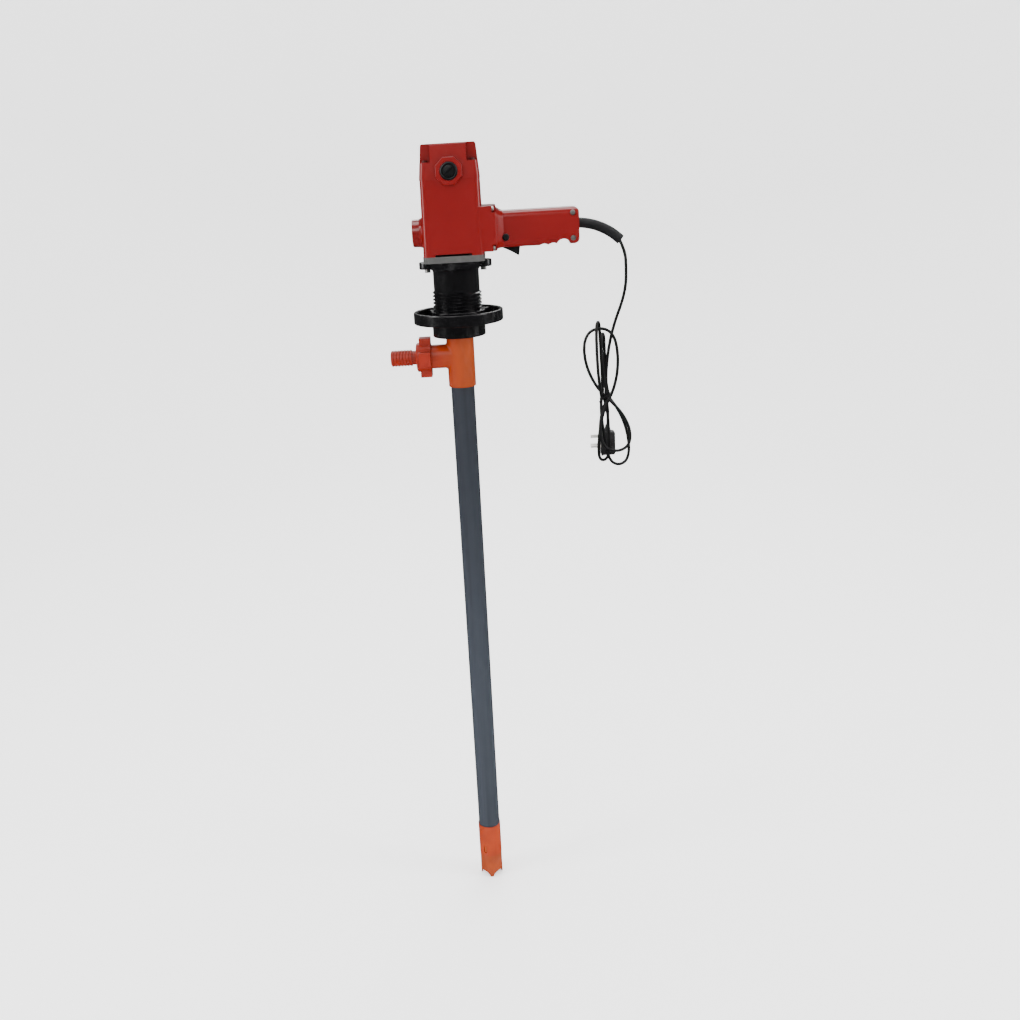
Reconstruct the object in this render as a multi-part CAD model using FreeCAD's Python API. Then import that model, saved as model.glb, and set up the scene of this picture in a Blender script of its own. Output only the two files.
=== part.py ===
import FreeCAD, Part
import math
import os
from FreeCAD import Vector as V

# Drum barrel pump: electric motor unit with a side handle, screwed by a handwheel
# nut onto a pump tube that hangs down into the drum.  Units are millimetres.
# Origin: on the tube's axis, at the lower face of the discharge tee, from which
# the immersion depth is measured.  +Z is up, +X points along the handle and -X
# along the discharge branch.

# --- clearances -----------------------------------------------------------------
GAP = 0.3            # between pieces of different bodies
RUN_FIT = 0.04       # radial, a shaft or pin that turns in a hole
SLIDE_FIT = 0.2      # each side, a block that slides in a guide

# --- pump tube ------------------------------------------------------------------
IMMERSION = 1035.0   # tee's lower face to the foot's tips
TUBE_R = 21.0
TUBE_WALL = 3.0
SHAFT_R = 5.0
GUIDE_R = 9.0        # shaft guide tube, outside
GUIDE_BORE = 6.6
BUSH_COUNT = 5
BUSH_LENGTH = 16.0

# --- foot -----------------------------------------------------------------------
FOOT_WALL = 1.4      # sleeve outside the tube
FOOT_LENGTH = 69.0
SOCKET_DEPTH = 6.0
SPIGOT_LENGTH = 24.0
STRAINER_LENGTH = 50.0
STRAINER_WALL = 3.0
BAYONET_LENGTH = 30.0
BAYONET_WALL = 1.9
LUG_WIDTH = 4.4
LUG_HEIGHT = 13.0
SLOT_MARGIN = 1.2
BAYONET_ANGLE = 242.0
ARCH_R = 13.0
IMPELLER_LENGTH = 20.0
IMPELLER_HUB_R = 8.0
IMPELLER_TIP_GAP = 0.6
BLADE_COUNT = 4

# --- discharge tee --------------------------------------------------------------
TEE_WALL = 3.4
TEE_SOCKET = 26.0
TEE_HEIGHT = 112.0
FLANGE_OVER = 0.2    # flange outside the barrel
TEE_FLANGE_T = 12.4
SEAL_SEAT_T = 28.0
BRANCH_Z = 54.2
BRANCH_R = 21.0
BRANCH_BORE = 15.0
BRANCH_REACH = 66.0
BRANCH_PITCH = 3.0
UNION_LIP = 5.6
UNION_WALL = 4.4
UNION_START = 52.5
UNION_LUG_REACH = 9.0
UNION_LUG_WIDTH = 27.0
TAIL_FLANGE_T = 4.4
TAIL_REACH = 124.5
TAIL_CREST_R = 14.3
TAIL_ROOT_R = 12.4
TAIL_BORE = 10.0
TAIL_NECK = 9.0
BARB_COUNT = 6
GASKET_T = 1.9

# --- handwheel and adapter ------------------------------------------------------
BARREL_R = 40.0
BARREL_BORE = 30.0
BARREL_LENGTH = 107.0
THREAD_DEPTH = 3.0
THREAD_PITCH = 6.0
THREAD_TURNS = 9
EAR_R = 14.5
EAR_BOLT_OUT = 8.5   # bolt circle outside the barrel
EAR_T = 12.0
WHEEL_R = 78.5
WHEEL_RIM = 6.8
WHEEL_RIM_H = 19.5
WHEEL_HUB_WALL = 4.4
WHEEL_LIP_T = 7.0
WHEEL_DROP = 24.5    # top of the lip collar to its lower face
SPOKE_WIDTH = 15.0
SPOKE_H = 13.0
SLIP_WASHER_T = 2.0
COUPLING_R = 17.0
CLAW_DEPTH = 6.0
CLAW_WIDTH = 7.0
SPIDER_ARM = 3.6

# --- motor ----------------------------------------------------------------------
PLATE_T = 11.0
HOUSING_HALF = 51.5  # at the bottom; the walls draw in upwards
HOUSING_TOP_HALF = 49.8
HOUSING_CORNER = 9.0
HOUSING_H = 124.0
HOUSING_BORE = 44.5
CAP_H = 57.0
CAP_FOOT_HALF = 50.4
CAP_TOP_HALF = 45.4
CAP_ROOF = 5.0
CAP_POCKET_H = 29.0
CAP_POCKET_IN = 30.0
VENT_COUNT = 5
EXHAUST_HALF = 31.0
EXHAUST_H = 3.5
BRUSH_RISE = 13.0    # brush axis above the cap's seam
BOSS_FLATS = 44.0
BOSS_OUT = 7.0
BRUSH_CAP_R = 14.3
BRUSH_W = 8.0
BRUSH_H = 14.0
BRUSH_L = 18.0
SPINDLE_R = 6.0
CORE_R = 25.4
CORE_H = 52.0
CORE_RISE = 42.0     # above the housing's lower face
SLOT_COUNT = 12
COMMUTATOR_R = 15.0
COMMUTATOR_H = 28.0
FAN_R = 40.0
FAN_BLADES = 12
BEARING_R = 16.0
BEARING_H = 12.0
TOP_BEARING_R = 13.0
TOP_BEARING_H = 9.0
SIDE_BOSS_R = 23.0
SIDE_BOSS_OUT = 70.0
SIDE_HOLE_R = 5.1
SIDE_HOLE_DEPTH = 17.0

# --- handle ---------------------------------------------------------------------
NECK_END = 60.0
NECK_H = 74.0
COLLAR_END = 74.0
THROAT_END = 90.0
GRIP_END = 214.0
GRIP_H = 61.0
GRIP_DEPTH = 44.0
GRIP_DROP = 10.0     # collar's top above the grip's top
GRIP_WALL = 3.5
CORD_EXIT_SHARE = 0.541
TRIGGER_X = 85.5
TRIGGER_WIDTH = 16.0
TRIGGER_REACH = 29.0
TRIGGER_TIP = 22.2
TRIGGER_TOP = 4.0
TRIGGER_PIN_R = 1.5
PLUNGER_X = 19.5     # from the trigger's pin
PLUNGER_R = 3.0
SWITCH_L = 42.0
SWITCH_W = 22.0
SWITCH_ROOM = 35.0   # of the grip's height, above and below the switch
BUTTON_R = 5.8
BUTTON_STEM_R = 2.9

# --- cord -----------------------------------------------------------------------
CORD_D = 5.5
SLEEVE_R = 8.6
SLEEVE_MOUTH_R = 5.9
SLEEVE_MOUTH_DEPTH = 12.0
CORD_ROUTE = [(281.8, 0.0, 242.3), (293.4, 0.0, 219.0), (294.6, 0.0, 190.0),
              (294.0, 0.0, 161.0), (287.0, 1.5, 131.5), (276.5, 4.5, 104.0),
              (268.5, 8.0, 76.0)]
HANK_DEPTH = 46.0
HANK_OUTLINE = [(245, 104), (231, 92), (219, 82), (213.5, 55), (218, 30), (225, 6),
                (236, -20), (241, -38), (241, -60), (237.5, -86), (235, -108),
                (235.5, -127), (241, -146), (250, -155.5), (260, -154), (267, -160),
                (278, -163), (291, -158), (299, -137), (303.5, -103), (297.5, -76),
                (285, -52), (271, -28), (269.5, -5), (275.5, 26), (279.5, 51),
                (275, 77), (262, 89)]
PLUG_BOX = (246.0, 4.0, -146.0, 26.5, 21.0, 44.0)  # corner, then size
PIN_REACH = 18.0

# --- stations along the axis, worked out from the sizes above -------------------
FOOT_TIP = -IMMERSION
STRAINER_TOP = FOOT_TIP + STRAINER_LENGTH
FOOT_TOP = STRAINER_TOP + FOOT_LENGTH
TUBE_BOTTOM = FOOT_TOP - SOCKET_DEPTH
CHAMBER_TOP = TUBE_BOTTOM - 8.0
GUIDE_BOTTOM = CHAMBER_TOP - 10.0
IMPELLER_TOP = CHAMBER_TOP - 24.0
FLANGE_BOTTOM = TEE_HEIGHT - TEE_FLANGE_T
SEAT_BOTTOM = TEE_HEIGHT - SEAL_SEAT_T
PLATE_BOTTOM = TEE_HEIGHT + BARREL_LENGTH
HOUSING_BOTTOM = PLATE_BOTTOM + PLATE_T
SEAM = HOUSING_BOTTOM + HOUSING_H
CAP_TOP = SEAM + CAP_H
BRUSH_Z = SEAM + BRUSH_RISE
CORE_BOTTOM = HOUSING_BOTTOM + CORE_RISE
CORE_TOP = CORE_BOTTOM + CORE_H
COMMUTATOR_BOTTOM = BRUSH_Z - COMMUTATOR_H / 2
SPINDLE_TOP = CAP_TOP - CAP_ROOF - 9.0
COUPLING_Z = TEE_HEIGHT + 35.0
TUBE_BORE = TUBE_R - TUBE_WALL
TEE_FLANGE_R = BARREL_R + FLANGE_OVER
TEE_R = TUBE_R + TEE_WALL
FOOT_R = TUBE_R + FOOT_WALL
CHAMBER_R = TUBE_BORE + 0.2
BAYONET_R = CHAMBER_R + 0.1 + BAYONET_WALL
EAR_X = BARREL_R + EAR_BOLT_OUT
PLATE_HALF = EAR_X + 4.0
CREST_R = BARREL_R + THREAD_DEPTH
HUB_BORE = CREST_R + GAP
HUB_R = HUB_BORE + WHEEL_HUB_WALL
SEAT_BORE = TEE_FLANGE_R + GAP
LIP_TOP = FLANGE_BOTTOM - 2 * GAP - SLIP_WASHER_T
LIP_BOTTOM = LIP_TOP - WHEEL_LIP_T
RIM_BOTTOM = LIP_BOTTOM + WHEEL_DROP
RIM_TOP = RIM_BOTTOM + WHEEL_RIM_H
NECK_BOTTOM = HOUSING_BOTTOM + 4.0
NECK_TOP = NECK_BOTTOM + NECK_H
GRIP_TOP = NECK_TOP - GRIP_DROP
GRIP_BOTTOM = GRIP_TOP - GRIP_H
PIVOT_Z = GRIP_BOTTOM + 7.5
SWITCH_BOTTOM = PIVOT_Z + 17.0
CORD_EXIT_Z = GRIP_BOTTOM + CORD_EXIT_SHARE * GRIP_H
SWITCH_H = GRIP_H - SWITCH_ROOM
BUTTON_Z = GRIP_BOTTOM + 17.2
BUTTON_X = TRIGGER_X + 3.5
FACE_Y = -HOUSING_HALF + 3.5

X_AXIS = V(1, 0, 0)
Y_AXIS = V(0, 1, 0)
Z_AXIS = V(0, 0, 1)


# --- shape helpers --------------------------------------------------------------
def cyl(radius, low, high, x=0.0, y=0.0):
    """Upright cylinder between two heights."""
    return Part.makeCylinder(radius, high - low, V(x, y, low), Z_AXIS)


def ring(outer, inner, low, high, x=0.0, y=0.0):
    """Upright tube between two heights."""
    return cyl(outer, low, high, x, y).cut(cyl(inner, low - 1, high + 1, x, y))


def rod(radius, start, end):
    """Cylinder between two points."""
    run = end.sub(start)
    return Part.makeCylinder(radius, run.Length, start, run)


def block(x0, x1, y0, y1, z0, z1):
    """Box given by its limits."""
    return Part.makeBox(x1 - x0, y1 - y0, z1 - z0, V(x0, y0, z0))


def turned(profile, axis=Z_AXIS, centre=V(0, 0, 0)):
    """Solid of revolution of a closed outline."""
    face = Part.Face(Part.makePolygon(profile + [profile[0]]))
    return face.revolve(centre, axis, 360)


def around(shape, count, start=0.0, centre=V(0, 0, 0), axis=Z_AXIS):
    """Copies of a shape evenly round an axis, as a list."""
    copies = []
    for i in range(count):
        copy = shape.copy()
        copy.rotate(centre, axis, start + i * 360.0 / count)
        copies.append(copy)
    return copies


def joined(first, others):
    """One solid from a shape and the pieces added to it."""
    return first.fuse(others).removeSplitter()


def rounded_wire(half_x, half_y, corner, z):
    """Rounded rectangle about the axis at one height."""
    edges = []
    places = [(1, 1, 0), (-1, 1, 90), (-1, -1, 180), (1, -1, 270)]
    arcs = []
    for sx, sy, turn in places:
        centre = V(sx * (half_x - corner), sy * (half_y - corner), z)
        points = []
        for angle in (turn, turn + 45, turn + 90):
            a = math.radians(angle)
            points.append(centre.add(V(corner * math.cos(a), corner * math.sin(a), 0)))
        arcs.append(points)
    for i, points in enumerate(arcs):
        edges.append(Part.Arc(*points).toShape())
        edges.append(Part.LineSegment(points[2], arcs[(i + 1) % 4][0]).toShape())
    return Part.Wire(edges)


def rounded_prism(half_x, half_y, corner, low, high):
    """Upright prism with rounded corners."""
    return Part.Face(rounded_wire(half_x, half_y, corner, low)).extrude(V(0, 0, high - low))


def tapered_prism(half_low, half_high, corner, low, high):
    """Square prism whose sides draw in between two heights."""
    wires = [rounded_wire(half_low, half_low - 1.5, corner, low),
             rounded_wire(half_high, half_high - 1.5, corner, high)]
    return Part.makeLoft(wires, True, True)


def coil(radius, wire, start, direction, length, turns):
    """Compression spring: round wire swept along a helix."""
    helix = Part.makeHelix((length - wire) / turns, length - wire, radius)
    section = Part.Wire(Part.makeCircle(wire / 2, V(radius, 0, 0), Y_AXIS))
    spring = Part.Wire(helix).makePipeShell([section], True, True)
    turn = FreeCAD.Rotation(Z_AXIS, direction)
    spring.Placement = FreeCAD.Placement(start.add(direction * (wire / 2)), turn)
    return spring


def hexagon(flats, start, end):
    """Hexagonal bar between two points, flats across the given size."""
    run = end.sub(start)
    radius = flats / math.sqrt(3)
    corners = [V(radius * math.cos(math.radians(60 * i + 30)),
                 radius * math.sin(math.radians(60 * i + 30)), 0) for i in range(6)]
    bar = Part.Face(Part.makePolygon(corners + [corners[0]])).extrude(V(0, 0, run.Length))
    bar.Placement = FreeCAD.Placement(start, FreeCAD.Rotation(Z_AXIS, run))
    return bar


def screw(head_r, head_t, shank_r, seat, direction, shank_l, socket_r):
    """Screw whose head sits on `seat` and whose shank runs along `direction`."""
    head_end = seat.sub(direction * head_t)
    body = rod(head_r, head_end, seat).fuse(rod(shank_r, seat, seat.add(direction * shank_l)))
    drive = rod(socket_r, head_end, head_end.add(direction * (head_t * 0.6)))
    return body.cut(drive).removeSplitter()


# --- pump tube and foot ---------------------------------------------------------
def outer_tube():
    return ring(TUBE_R, TUBE_BORE, TUBE_BOTTOM, TEE_SOCKET)


def inner_tube():
    return ring(GUIDE_R, GUIDE_BORE, GUIDE_BOTTOM, SEAT_BOTTOM + 6.0)


def shaft_bushes():
    low = GUIDE_BOTTOM + 60.0
    step = (SEAT_BOTTOM - 40.0 - low) / (BUSH_COUNT - 1)
    bore = SHAFT_R + RUN_FIT
    return Part.makeCompound([ring(GUIDE_BORE, bore, low + i * step, low + i * step + BUSH_LENGTH)
                              for i in range(BUSH_COUNT)])


def drive_shaft():
    return cyl(SHAFT_R, STRAINER_TOP, COUPLING_Z - 6.0)


def foot_guide():
    hub_r = GUIDE_R + 2.5
    hub = cyl(hub_r, CHAMBER_TOP - 20.0, CHAMBER_TOP)
    fin = block(hub_r - 1.0, CHAMBER_R, -1.3, 1.3, CHAMBER_TOP - 20.0, CHAMBER_TOP)
    fin = fin.common(cyl(CHAMBER_R, CHAMBER_TOP - 20.0, CHAMBER_TOP))
    guide = joined(hub, around(fin, 3))
    guide = guide.cut(cyl(GUIDE_R, GUIDE_BOTTOM, CHAMBER_TOP + 1))
    return guide.cut(cyl(SHAFT_R + RUN_FIT, CHAMBER_TOP - 21.0, CHAMBER_TOP))


def at_bayonets(shape):
    return around(shape, 2, BAYONET_ANGLE)


def foot_housing():
    body = cyl(FOOT_R, STRAINER_TOP, FOOT_TOP)
    body = body.cut(cyl(TUBE_R, TUBE_BOTTOM, FOOT_TOP + 1))
    spigot = ring(TUBE_BORE, TUBE_BORE - 2.4, TUBE_BOTTOM, TUBE_BOTTOM + SPIGOT_LENGTH)
    body = joined(body, [spigot])
    body = body.cut([cyl(CHAMBER_R, STRAINER_TOP - 1, CHAMBER_TOP),
                     cyl(TUBE_BORE - 2.4, CHAMBER_TOP - 1, FOOT_TOP),
                     cyl(BAYONET_R, STRAINER_TOP - 1, STRAINER_TOP + BAYONET_LENGTH)])
    half = LUG_WIDTH / 2 + SLOT_MARGIN
    low = STRAINER_TOP + 7.0
    slot = block(BAYONET_R - 3.0, FOOT_R + 3.0, -half, half, low, low + LUG_HEIGHT + 2 * SLOT_MARGIN)
    return body.cut(at_bayonets(slot))


def foot_strainer():
    outer = FOOT_R - 0.4
    body = cyl(outer, FOOT_TIP, STRAINER_TOP)
    collar = cyl(BAYONET_R, STRAINER_TOP, STRAINER_TOP + BAYONET_LENGTH)
    low = STRAINER_TOP + 7.0 + SLOT_MARGIN
    lug = block(BAYONET_R - 1.0, BAYONET_R + 1.0, -LUG_WIDTH / 2, LUG_WIDTH / 2, low, low + LUG_HEIGHT)
    body = joined(body, [collar] + at_bayonets(lug))
    bore = [cyl(outer - STRAINER_WALL, FOOT_TIP - 1, STRAINER_TOP - 4.0),
            cyl(BAYONET_R - BAYONET_WALL, STRAINER_TOP - 5.0, STRAINER_TOP + BAYONET_LENGTH + 1)]
    arches = []
    for angle in (45, 135):
        a = math.radians(angle)
        side = V(math.cos(a) * 40, math.sin(a) * 40, 0)
        middle = V(0, 0, FOOT_TIP - 1.0)
        arches.append(rod(ARCH_R, middle.sub(side), middle.add(side)))
    return body.cut(bore + arches)


def impeller():
    low = IMPELLER_TOP - IMPELLER_LENGTH
    tip = CHAMBER_R - IMPELLER_TIP_GAP
    hub = ring(IMPELLER_HUB_R, SHAFT_R, low, IMPELLER_TOP)
    blade = block(SHAFT_R + 1.0, tip + 4.0, -1.2, 1.2, -IMPELLER_LENGTH, IMPELLER_LENGTH)
    blade.rotate(V(0, 0, 0), X_AXIS, 38)
    blade.translate(V(0, 0, low + IMPELLER_LENGTH / 2))
    blades = []
    space = ring(tip, SHAFT_R + 0.5, low + 1.0, IMPELLER_TOP - 1.0)
    for copy in around(blade, BLADE_COUNT):
        blades.append(copy.common(space))
    return joined(hub, blades)


def impeller_nut():
    top = IMPELLER_TOP - IMPELLER_LENGTH
    nut = hexagon(13.0, V(0, 0, top - 6.0), V(0, 0, top))
    return nut.cut(cyl(SHAFT_R, top - 7.0, top + 1.0))


# --- discharge tee and hose connection ------------------------------------------
def pump_tee():
    body = cyl(TEE_R, 0, TEE_HEIGHT)
    branch = rod(BRANCH_R, V(0, 0, BRANCH_Z), V(-UNION_START - 1.0, 0, BRANCH_Z))
    branch = branch.cut(cyl(TUBE_BORE, 0, TEE_HEIGHT))
    body = body.fuse(branch).removeSplitter()
    body = body.makeFillet(4.0, saddle_edges(body))
    threaded = rod(BRANCH_R - 1.2, V(-UNION_START, 0, BRANCH_Z), V(-BRANCH_REACH, 0, BRANCH_Z))
    flange = cyl(TEE_FLANGE_R, FLANGE_BOTTOM, TEE_HEIGHT)
    body = joined(body, [threaded, flange] + branch_thread())
    return body.cut([cyl(TUBE_R, -1, TEE_SOCKET), cyl(TUBE_BORE, -1, SEAT_BOTTOM),
                     cyl(TUBE_R, SEAT_BOTTOM, TEE_HEIGHT + 1),
                     rod(BRANCH_BORE, V(0, 0, BRANCH_Z), V(-BRANCH_REACH - 1, 0, BRANCH_Z))])


def saddle_edges(body):
    """Edges where the branch meets the upright: curves that are no circle or line."""
    return [edge for edge in body.Edges
            if not isinstance(edge.Curve, (Part.Circle, Part.Line)) and edge.BoundBox.XMin < -5
            and edge.BoundBox.XMin > -TEE_R - 1]


def branch_thread():
    crests = []
    x = UNION_START + BRANCH_PITCH
    while x < BRANCH_REACH - BRANCH_PITCH / 2:
        crests.append(rod(BRANCH_R, V(-x, 0, BRANCH_Z), V(-x - BRANCH_PITCH / 2, 0, BRANCH_Z)))
        x += BRANCH_PITCH
    return crests


def at_branch(radius, near, far):
    """Cylinder along the branch between two distances from the axis."""
    return rod(radius, V(-near, 0, BRANCH_Z), V(-far, 0, BRANCH_Z))


def branch_gasket():
    return at_branch(BRANCH_R - 1.5, BRANCH_REACH, BRANCH_REACH + GASKET_T).cut(
        at_branch(BRANCH_BORE - 2.0, BRANCH_REACH - 1, BRANCH_REACH + GASKET_T + 1))


def hose_tail():
    near = BRANCH_REACH + GASKET_T + GAP
    neck = near + TAIL_FLANGE_T
    barbs_from = neck + TAIL_NECK + 5.0
    nose = TAIL_REACH - 5.0
    pitch = (nose - barbs_from) / BARB_COUNT
    body = at_branch(BRANCH_R - 0.3, near, neck)
    body = body.fuse(at_branch(TAIL_ROOT_R, neck - 1.0, barbs_from + 1.0))
    points = [V(-barbs_from, 0, 0), V(-barbs_from, 0, TAIL_CREST_R - 1.4)]
    for i in range(BARB_COUNT):
        start = barbs_from + i * pitch
        points += [V(-start - 0.4, 0, TAIL_CREST_R), V(-start - pitch * 0.55, 0, TAIL_CREST_R),
                   V(-start - pitch * 0.95, 0, TAIL_CREST_R - 1.4),
                   V(-start - pitch, 0, TAIL_CREST_R - 1.4)]
    points += [V(-nose - 0.4, 0, TAIL_CREST_R), V(-nose - 2.5, 0, TAIL_CREST_R),
               V(-TAIL_REACH + 0.6, 0, TAIL_CREST_R - 1.6), V(-TAIL_REACH, 0, TAIL_CREST_R - 3.0),
               V(-TAIL_REACH, 0, 0)]
    barbs = turned(points, X_AXIS)
    barbs.translate(V(0, 0, BRANCH_Z))
    body = joined(body, [barbs])
    return body.cut(at_branch(TAIL_BORE, near - 1, TAIL_REACH + 1))


def union_nut():
    inside = BRANCH_REACH + GASKET_T + GAP + TAIL_FLANGE_T + GAP
    end = inside + UNION_LIP
    core_r = BRANCH_R + GAP + UNION_WALL
    core = at_branch(core_r, UNION_START, end - 1.8)
    nose = Part.makeCone(core_r, core_r - 2.6, 1.8, V(-end + 1.8, 0, BRANCH_Z), V(-1, 0, 0))
    half = UNION_LUG_WIDTH / 2
    lug = block(-end + 6.0, -UNION_START, -half, half, 0, core_r + UNION_LUG_REACH)
    lug = lug.makeFillet(2.0, [edge for edge in lug.Edges
                               if edge.BoundBox.ZMin > core_r and edge.BoundBox.YLength < 0.1])
    lug.translate(V(0, 0, BRANCH_Z))
    lugs = around(lug, 4, 0, V(0, 0, BRANCH_Z), X_AXIS)
    nut = joined(core, [nose] + lugs)
    return nut.cut([at_branch(BRANCH_R + GAP, UNION_START - 1, inside),
                    at_branch(TAIL_CREST_R + 0.6, inside - 1, end + 1)])


# --- head of the pump tube ------------------------------------------------------
def seal_carrier():
    body = cyl(TUBE_R, SEAT_BOTTOM, TEE_HEIGHT)
    return body.cut([cyl(GUIDE_R, SEAT_BOTTOM - 1, SEAT_BOTTOM + 6.0),
                     cyl(SHAFT_R + 1.0, SEAT_BOTTOM, TEE_HEIGHT),
                     cyl(10.0, SEAT_BOTTOM + 7.0, SEAT_BOTTOM + 14.0),
                     cyl(TOP_BEARING_R, SEAT_BOTTOM + 14.0, TEE_HEIGHT + 1)])


def shaft_seal():
    return ring(10.0, SHAFT_R + RUN_FIT, SEAT_BOTTOM + 7.0, SEAT_BOTTOM + 14.0)


def pump_bearing():
    return ring(TOP_BEARING_R, SHAFT_R + RUN_FIT, SEAT_BOTTOM + 14.0, TEE_HEIGHT - 2.0)


def slip_washer():
    low = LIP_TOP + GAP
    return ring(SEAT_BORE - GAP, TEE_R + 2.0, low, low + SLIP_WASHER_T)


def handwheel_nut():
    rim = ring(WHEEL_R, WHEEL_R - WHEEL_RIM, RIM_BOTTOM, RIM_TOP)
    rim = rim.makeFillet(1.8, [edge for edge in rim.Edges if edge.BoundBox.ZLength < 0.1])
    hub = cyl(HUB_R, RIM_BOTTOM - 2.5, RIM_TOP)
    hub = hub.makeFillet(1.2, [edge for edge in hub.Edges
                               if edge.BoundBox.ZLength < 0.1])
    collar = cyl(HUB_R - 1.2, LIP_BOTTOM, RIM_BOTTOM + 2.0)
    collar = collar.makeFillet(1.8, [edge for edge in collar.Edges
                                     if edge.BoundBox.ZMax < LIP_BOTTOM + 0.1])
    low = RIM_BOTTOM + (WHEEL_RIM_H - SPOKE_H) / 2
    half = SPOKE_WIDTH / 2
    spoke = block(HUB_R - 2.0, WHEEL_R - WHEEL_RIM + 2.0, -half, half, low, low + SPOKE_H)
    spoke = spoke.makeFillet(2.0, [edge for edge in spoke.Edges
                                   if edge.BoundBox.XLength > 5.0])
    wheel = joined(rim, [hub, collar] + around(spoke, 4, 45))
    return wheel.cut([cyl(TEE_R + 2.0, LIP_BOTTOM - 1, LIP_TOP + 1),
                      cyl(SEAT_BORE, LIP_TOP, TEE_HEIGHT), cyl(HUB_BORE, TEE_HEIGHT, RIM_TOP + 1)])


# --- adapter between the pump tube and the motor --------------------------------
def ear_plate(low, high):
    """Oval flange: a round middle and two ears."""
    middle = cyl(BARREL_R + 6.0, low, high)
    ears = [cyl(EAR_R, low, high, sign * EAR_X, 0) for sign in (-1, 1)]
    bridge = block(-EAR_X, EAR_X, -EAR_R, EAR_R, low, high)
    return joined(middle, ears + [bridge])


def adapter_barrel():
    top = PLATE_BOTTOM - EAR_T
    ridge = 0.28 * THREAD_PITCH
    points = [V(0, 0, TEE_HEIGHT), V(BARREL_R, 0, TEE_HEIGHT)]
    for i in range(THREAD_TURNS):
        z = TEE_HEIGHT + 1.0 + i * THREAD_PITCH
        points += [V(BARREL_R, 0, z), V(CREST_R, 0, z + ridge), V(CREST_R, 0, z + 2 * ridge),
                   V(BARREL_R, 0, z + 3 * ridge)]
    points += [V(BARREL_R, 0, top - 6.0), V(BARREL_R + 1.2, 0, top - 2.4),
               V(BARREL_R + 4.0, 0, top - 0.5), V(BARREL_R + 4.0, 0, top + 1), V(0, 0, top + 1)]
    flange = ear_plate(top, PLATE_BOTTOM)
    flange = flange.makeFillet(1.5, [edge for edge in flange.Edges
                                     if edge.BoundBox.ZMax < top + 0.1])
    body = turned(points).cut(at_ears(rod(5.4, V(0, 0, top - 8.0), V(0, 0, top))))
    body = joined(body, [flange])
    return body.cut([cyl(BARREL_BORE, TEE_HEIGHT - 1, PLATE_BOTTOM + 1)]
                    + at_ears(cyl(3.0, top - 1, PLATE_BOTTOM + 1)))


def at_ears(shape):
    copies = []
    for sign in (-1, 1):
        copy = shape.copy()
        copy.translate(V(sign * EAR_X, 0, 0))
        copies.append(copy)
    return copies


def adapter_bolts():
    seat = V(0, 0, PLATE_BOTTOM - EAR_T)
    bolt = screw(5.0, 6.0, 3.0, seat, Z_AXIS, EAR_T + 7.0, 2.4)
    return Part.makeCompound(at_ears(bolt))


def coupling_half(radius, bore, low, high, claw_low, claw_high, start):
    body = ring(radius, bore, low, high)
    claw = ring(radius, radius - CLAW_DEPTH, claw_low, claw_high)
    half = CLAW_WIDTH / 2
    sector = block(0, radius + 2.0, -half, half, claw_low, claw_high)
    claws = [copy.common(claw) for copy in around(sector, 3, start)]
    return joined(body, claws)


def coupling_upper():
    low = COUPLING_Z + 5.0
    return coupling_half(COUPLING_R, SPINDLE_R, low, low + 26.0, COUPLING_Z - 4.5, low, 0)


def coupling_lower():
    high = COUPLING_Z - 5.0
    return coupling_half(COUPLING_R, SHAFT_R, high - 24.0, high, high, COUPLING_Z + 4.5, 60)


def coupling_spider():
    hub = cyl(8.4, COUPLING_Z - 4.0, COUPLING_Z + 4.0)
    half = SPIDER_ARM / 2
    arm = block(0, COUPLING_R - 0.5, -half, half, COUPLING_Z - 4.0, COUPLING_Z + 4.0)
    return joined(hub, around(arm, 6, 30))


# --- motor ----------------------------------------------------------------------
def corner_places(reach):
    return [(sx * reach, sy * (reach - 1.5)) for sx in (-1, 1) for sy in (-1, 1)]


def bearing_plate():
    body = rounded_prism(PLATE_HALF, PLATE_HALF - 2.5, 12.0, PLATE_BOTTOM, HOUSING_BOTTOM)
    body = body.makeFillet(1.2, [edge for edge in body.Edges
                                 if edge.BoundBox.ZMax < PLATE_BOTTOM + 0.1])
    hub = cyl(BEARING_R + 6.0, PLATE_BOTTOM, HOUSING_BOTTOM + BEARING_H)
    body = joined(body, [hub])
    cuts = [cyl(SPINDLE_R + 2.0, PLATE_BOTTOM - 1, HOUSING_BOTTOM + 20.0),
            cyl(BEARING_R, HOUSING_BOTTOM - 4.0, HOUSING_BOTTOM + BEARING_H + 1)]
    for x, y in corner_places(HOUSING_HALF - 11.0):
        cuts += [cyl(2.5, PLATE_BOTTOM - 1, HOUSING_BOTTOM + 1, x, y),
                 cyl(4.6, PLATE_BOTTOM - 1, PLATE_BOTTOM + 5.0, x, y)]
    return body.cut(cuts + at_ears(cyl(3.0, PLATE_BOTTOM - 1, PLATE_BOTTOM + 7.0)))


def plate_screws():
    seat_z = PLATE_BOTTOM + 5.0
    return Part.makeCompound([screw(4.4, 4.5, 2.5, V(x, y, seat_z), Z_AXIS, 22.0, 2.0)
                              for x, y in corner_places(HOUSING_HALF - 11.0)])


def motor_bearing():
    return ring(BEARING_R, SPINDLE_R + RUN_FIT, HOUSING_BOTTOM - 4.0, HOUSING_BOTTOM - 4.0 + BEARING_H)


def top_bearing():
    high = SPINDLE_TOP + 1.0
    return ring(TOP_BEARING_R, SPINDLE_R + RUN_FIT, high - TOP_BEARING_H, high)


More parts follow.
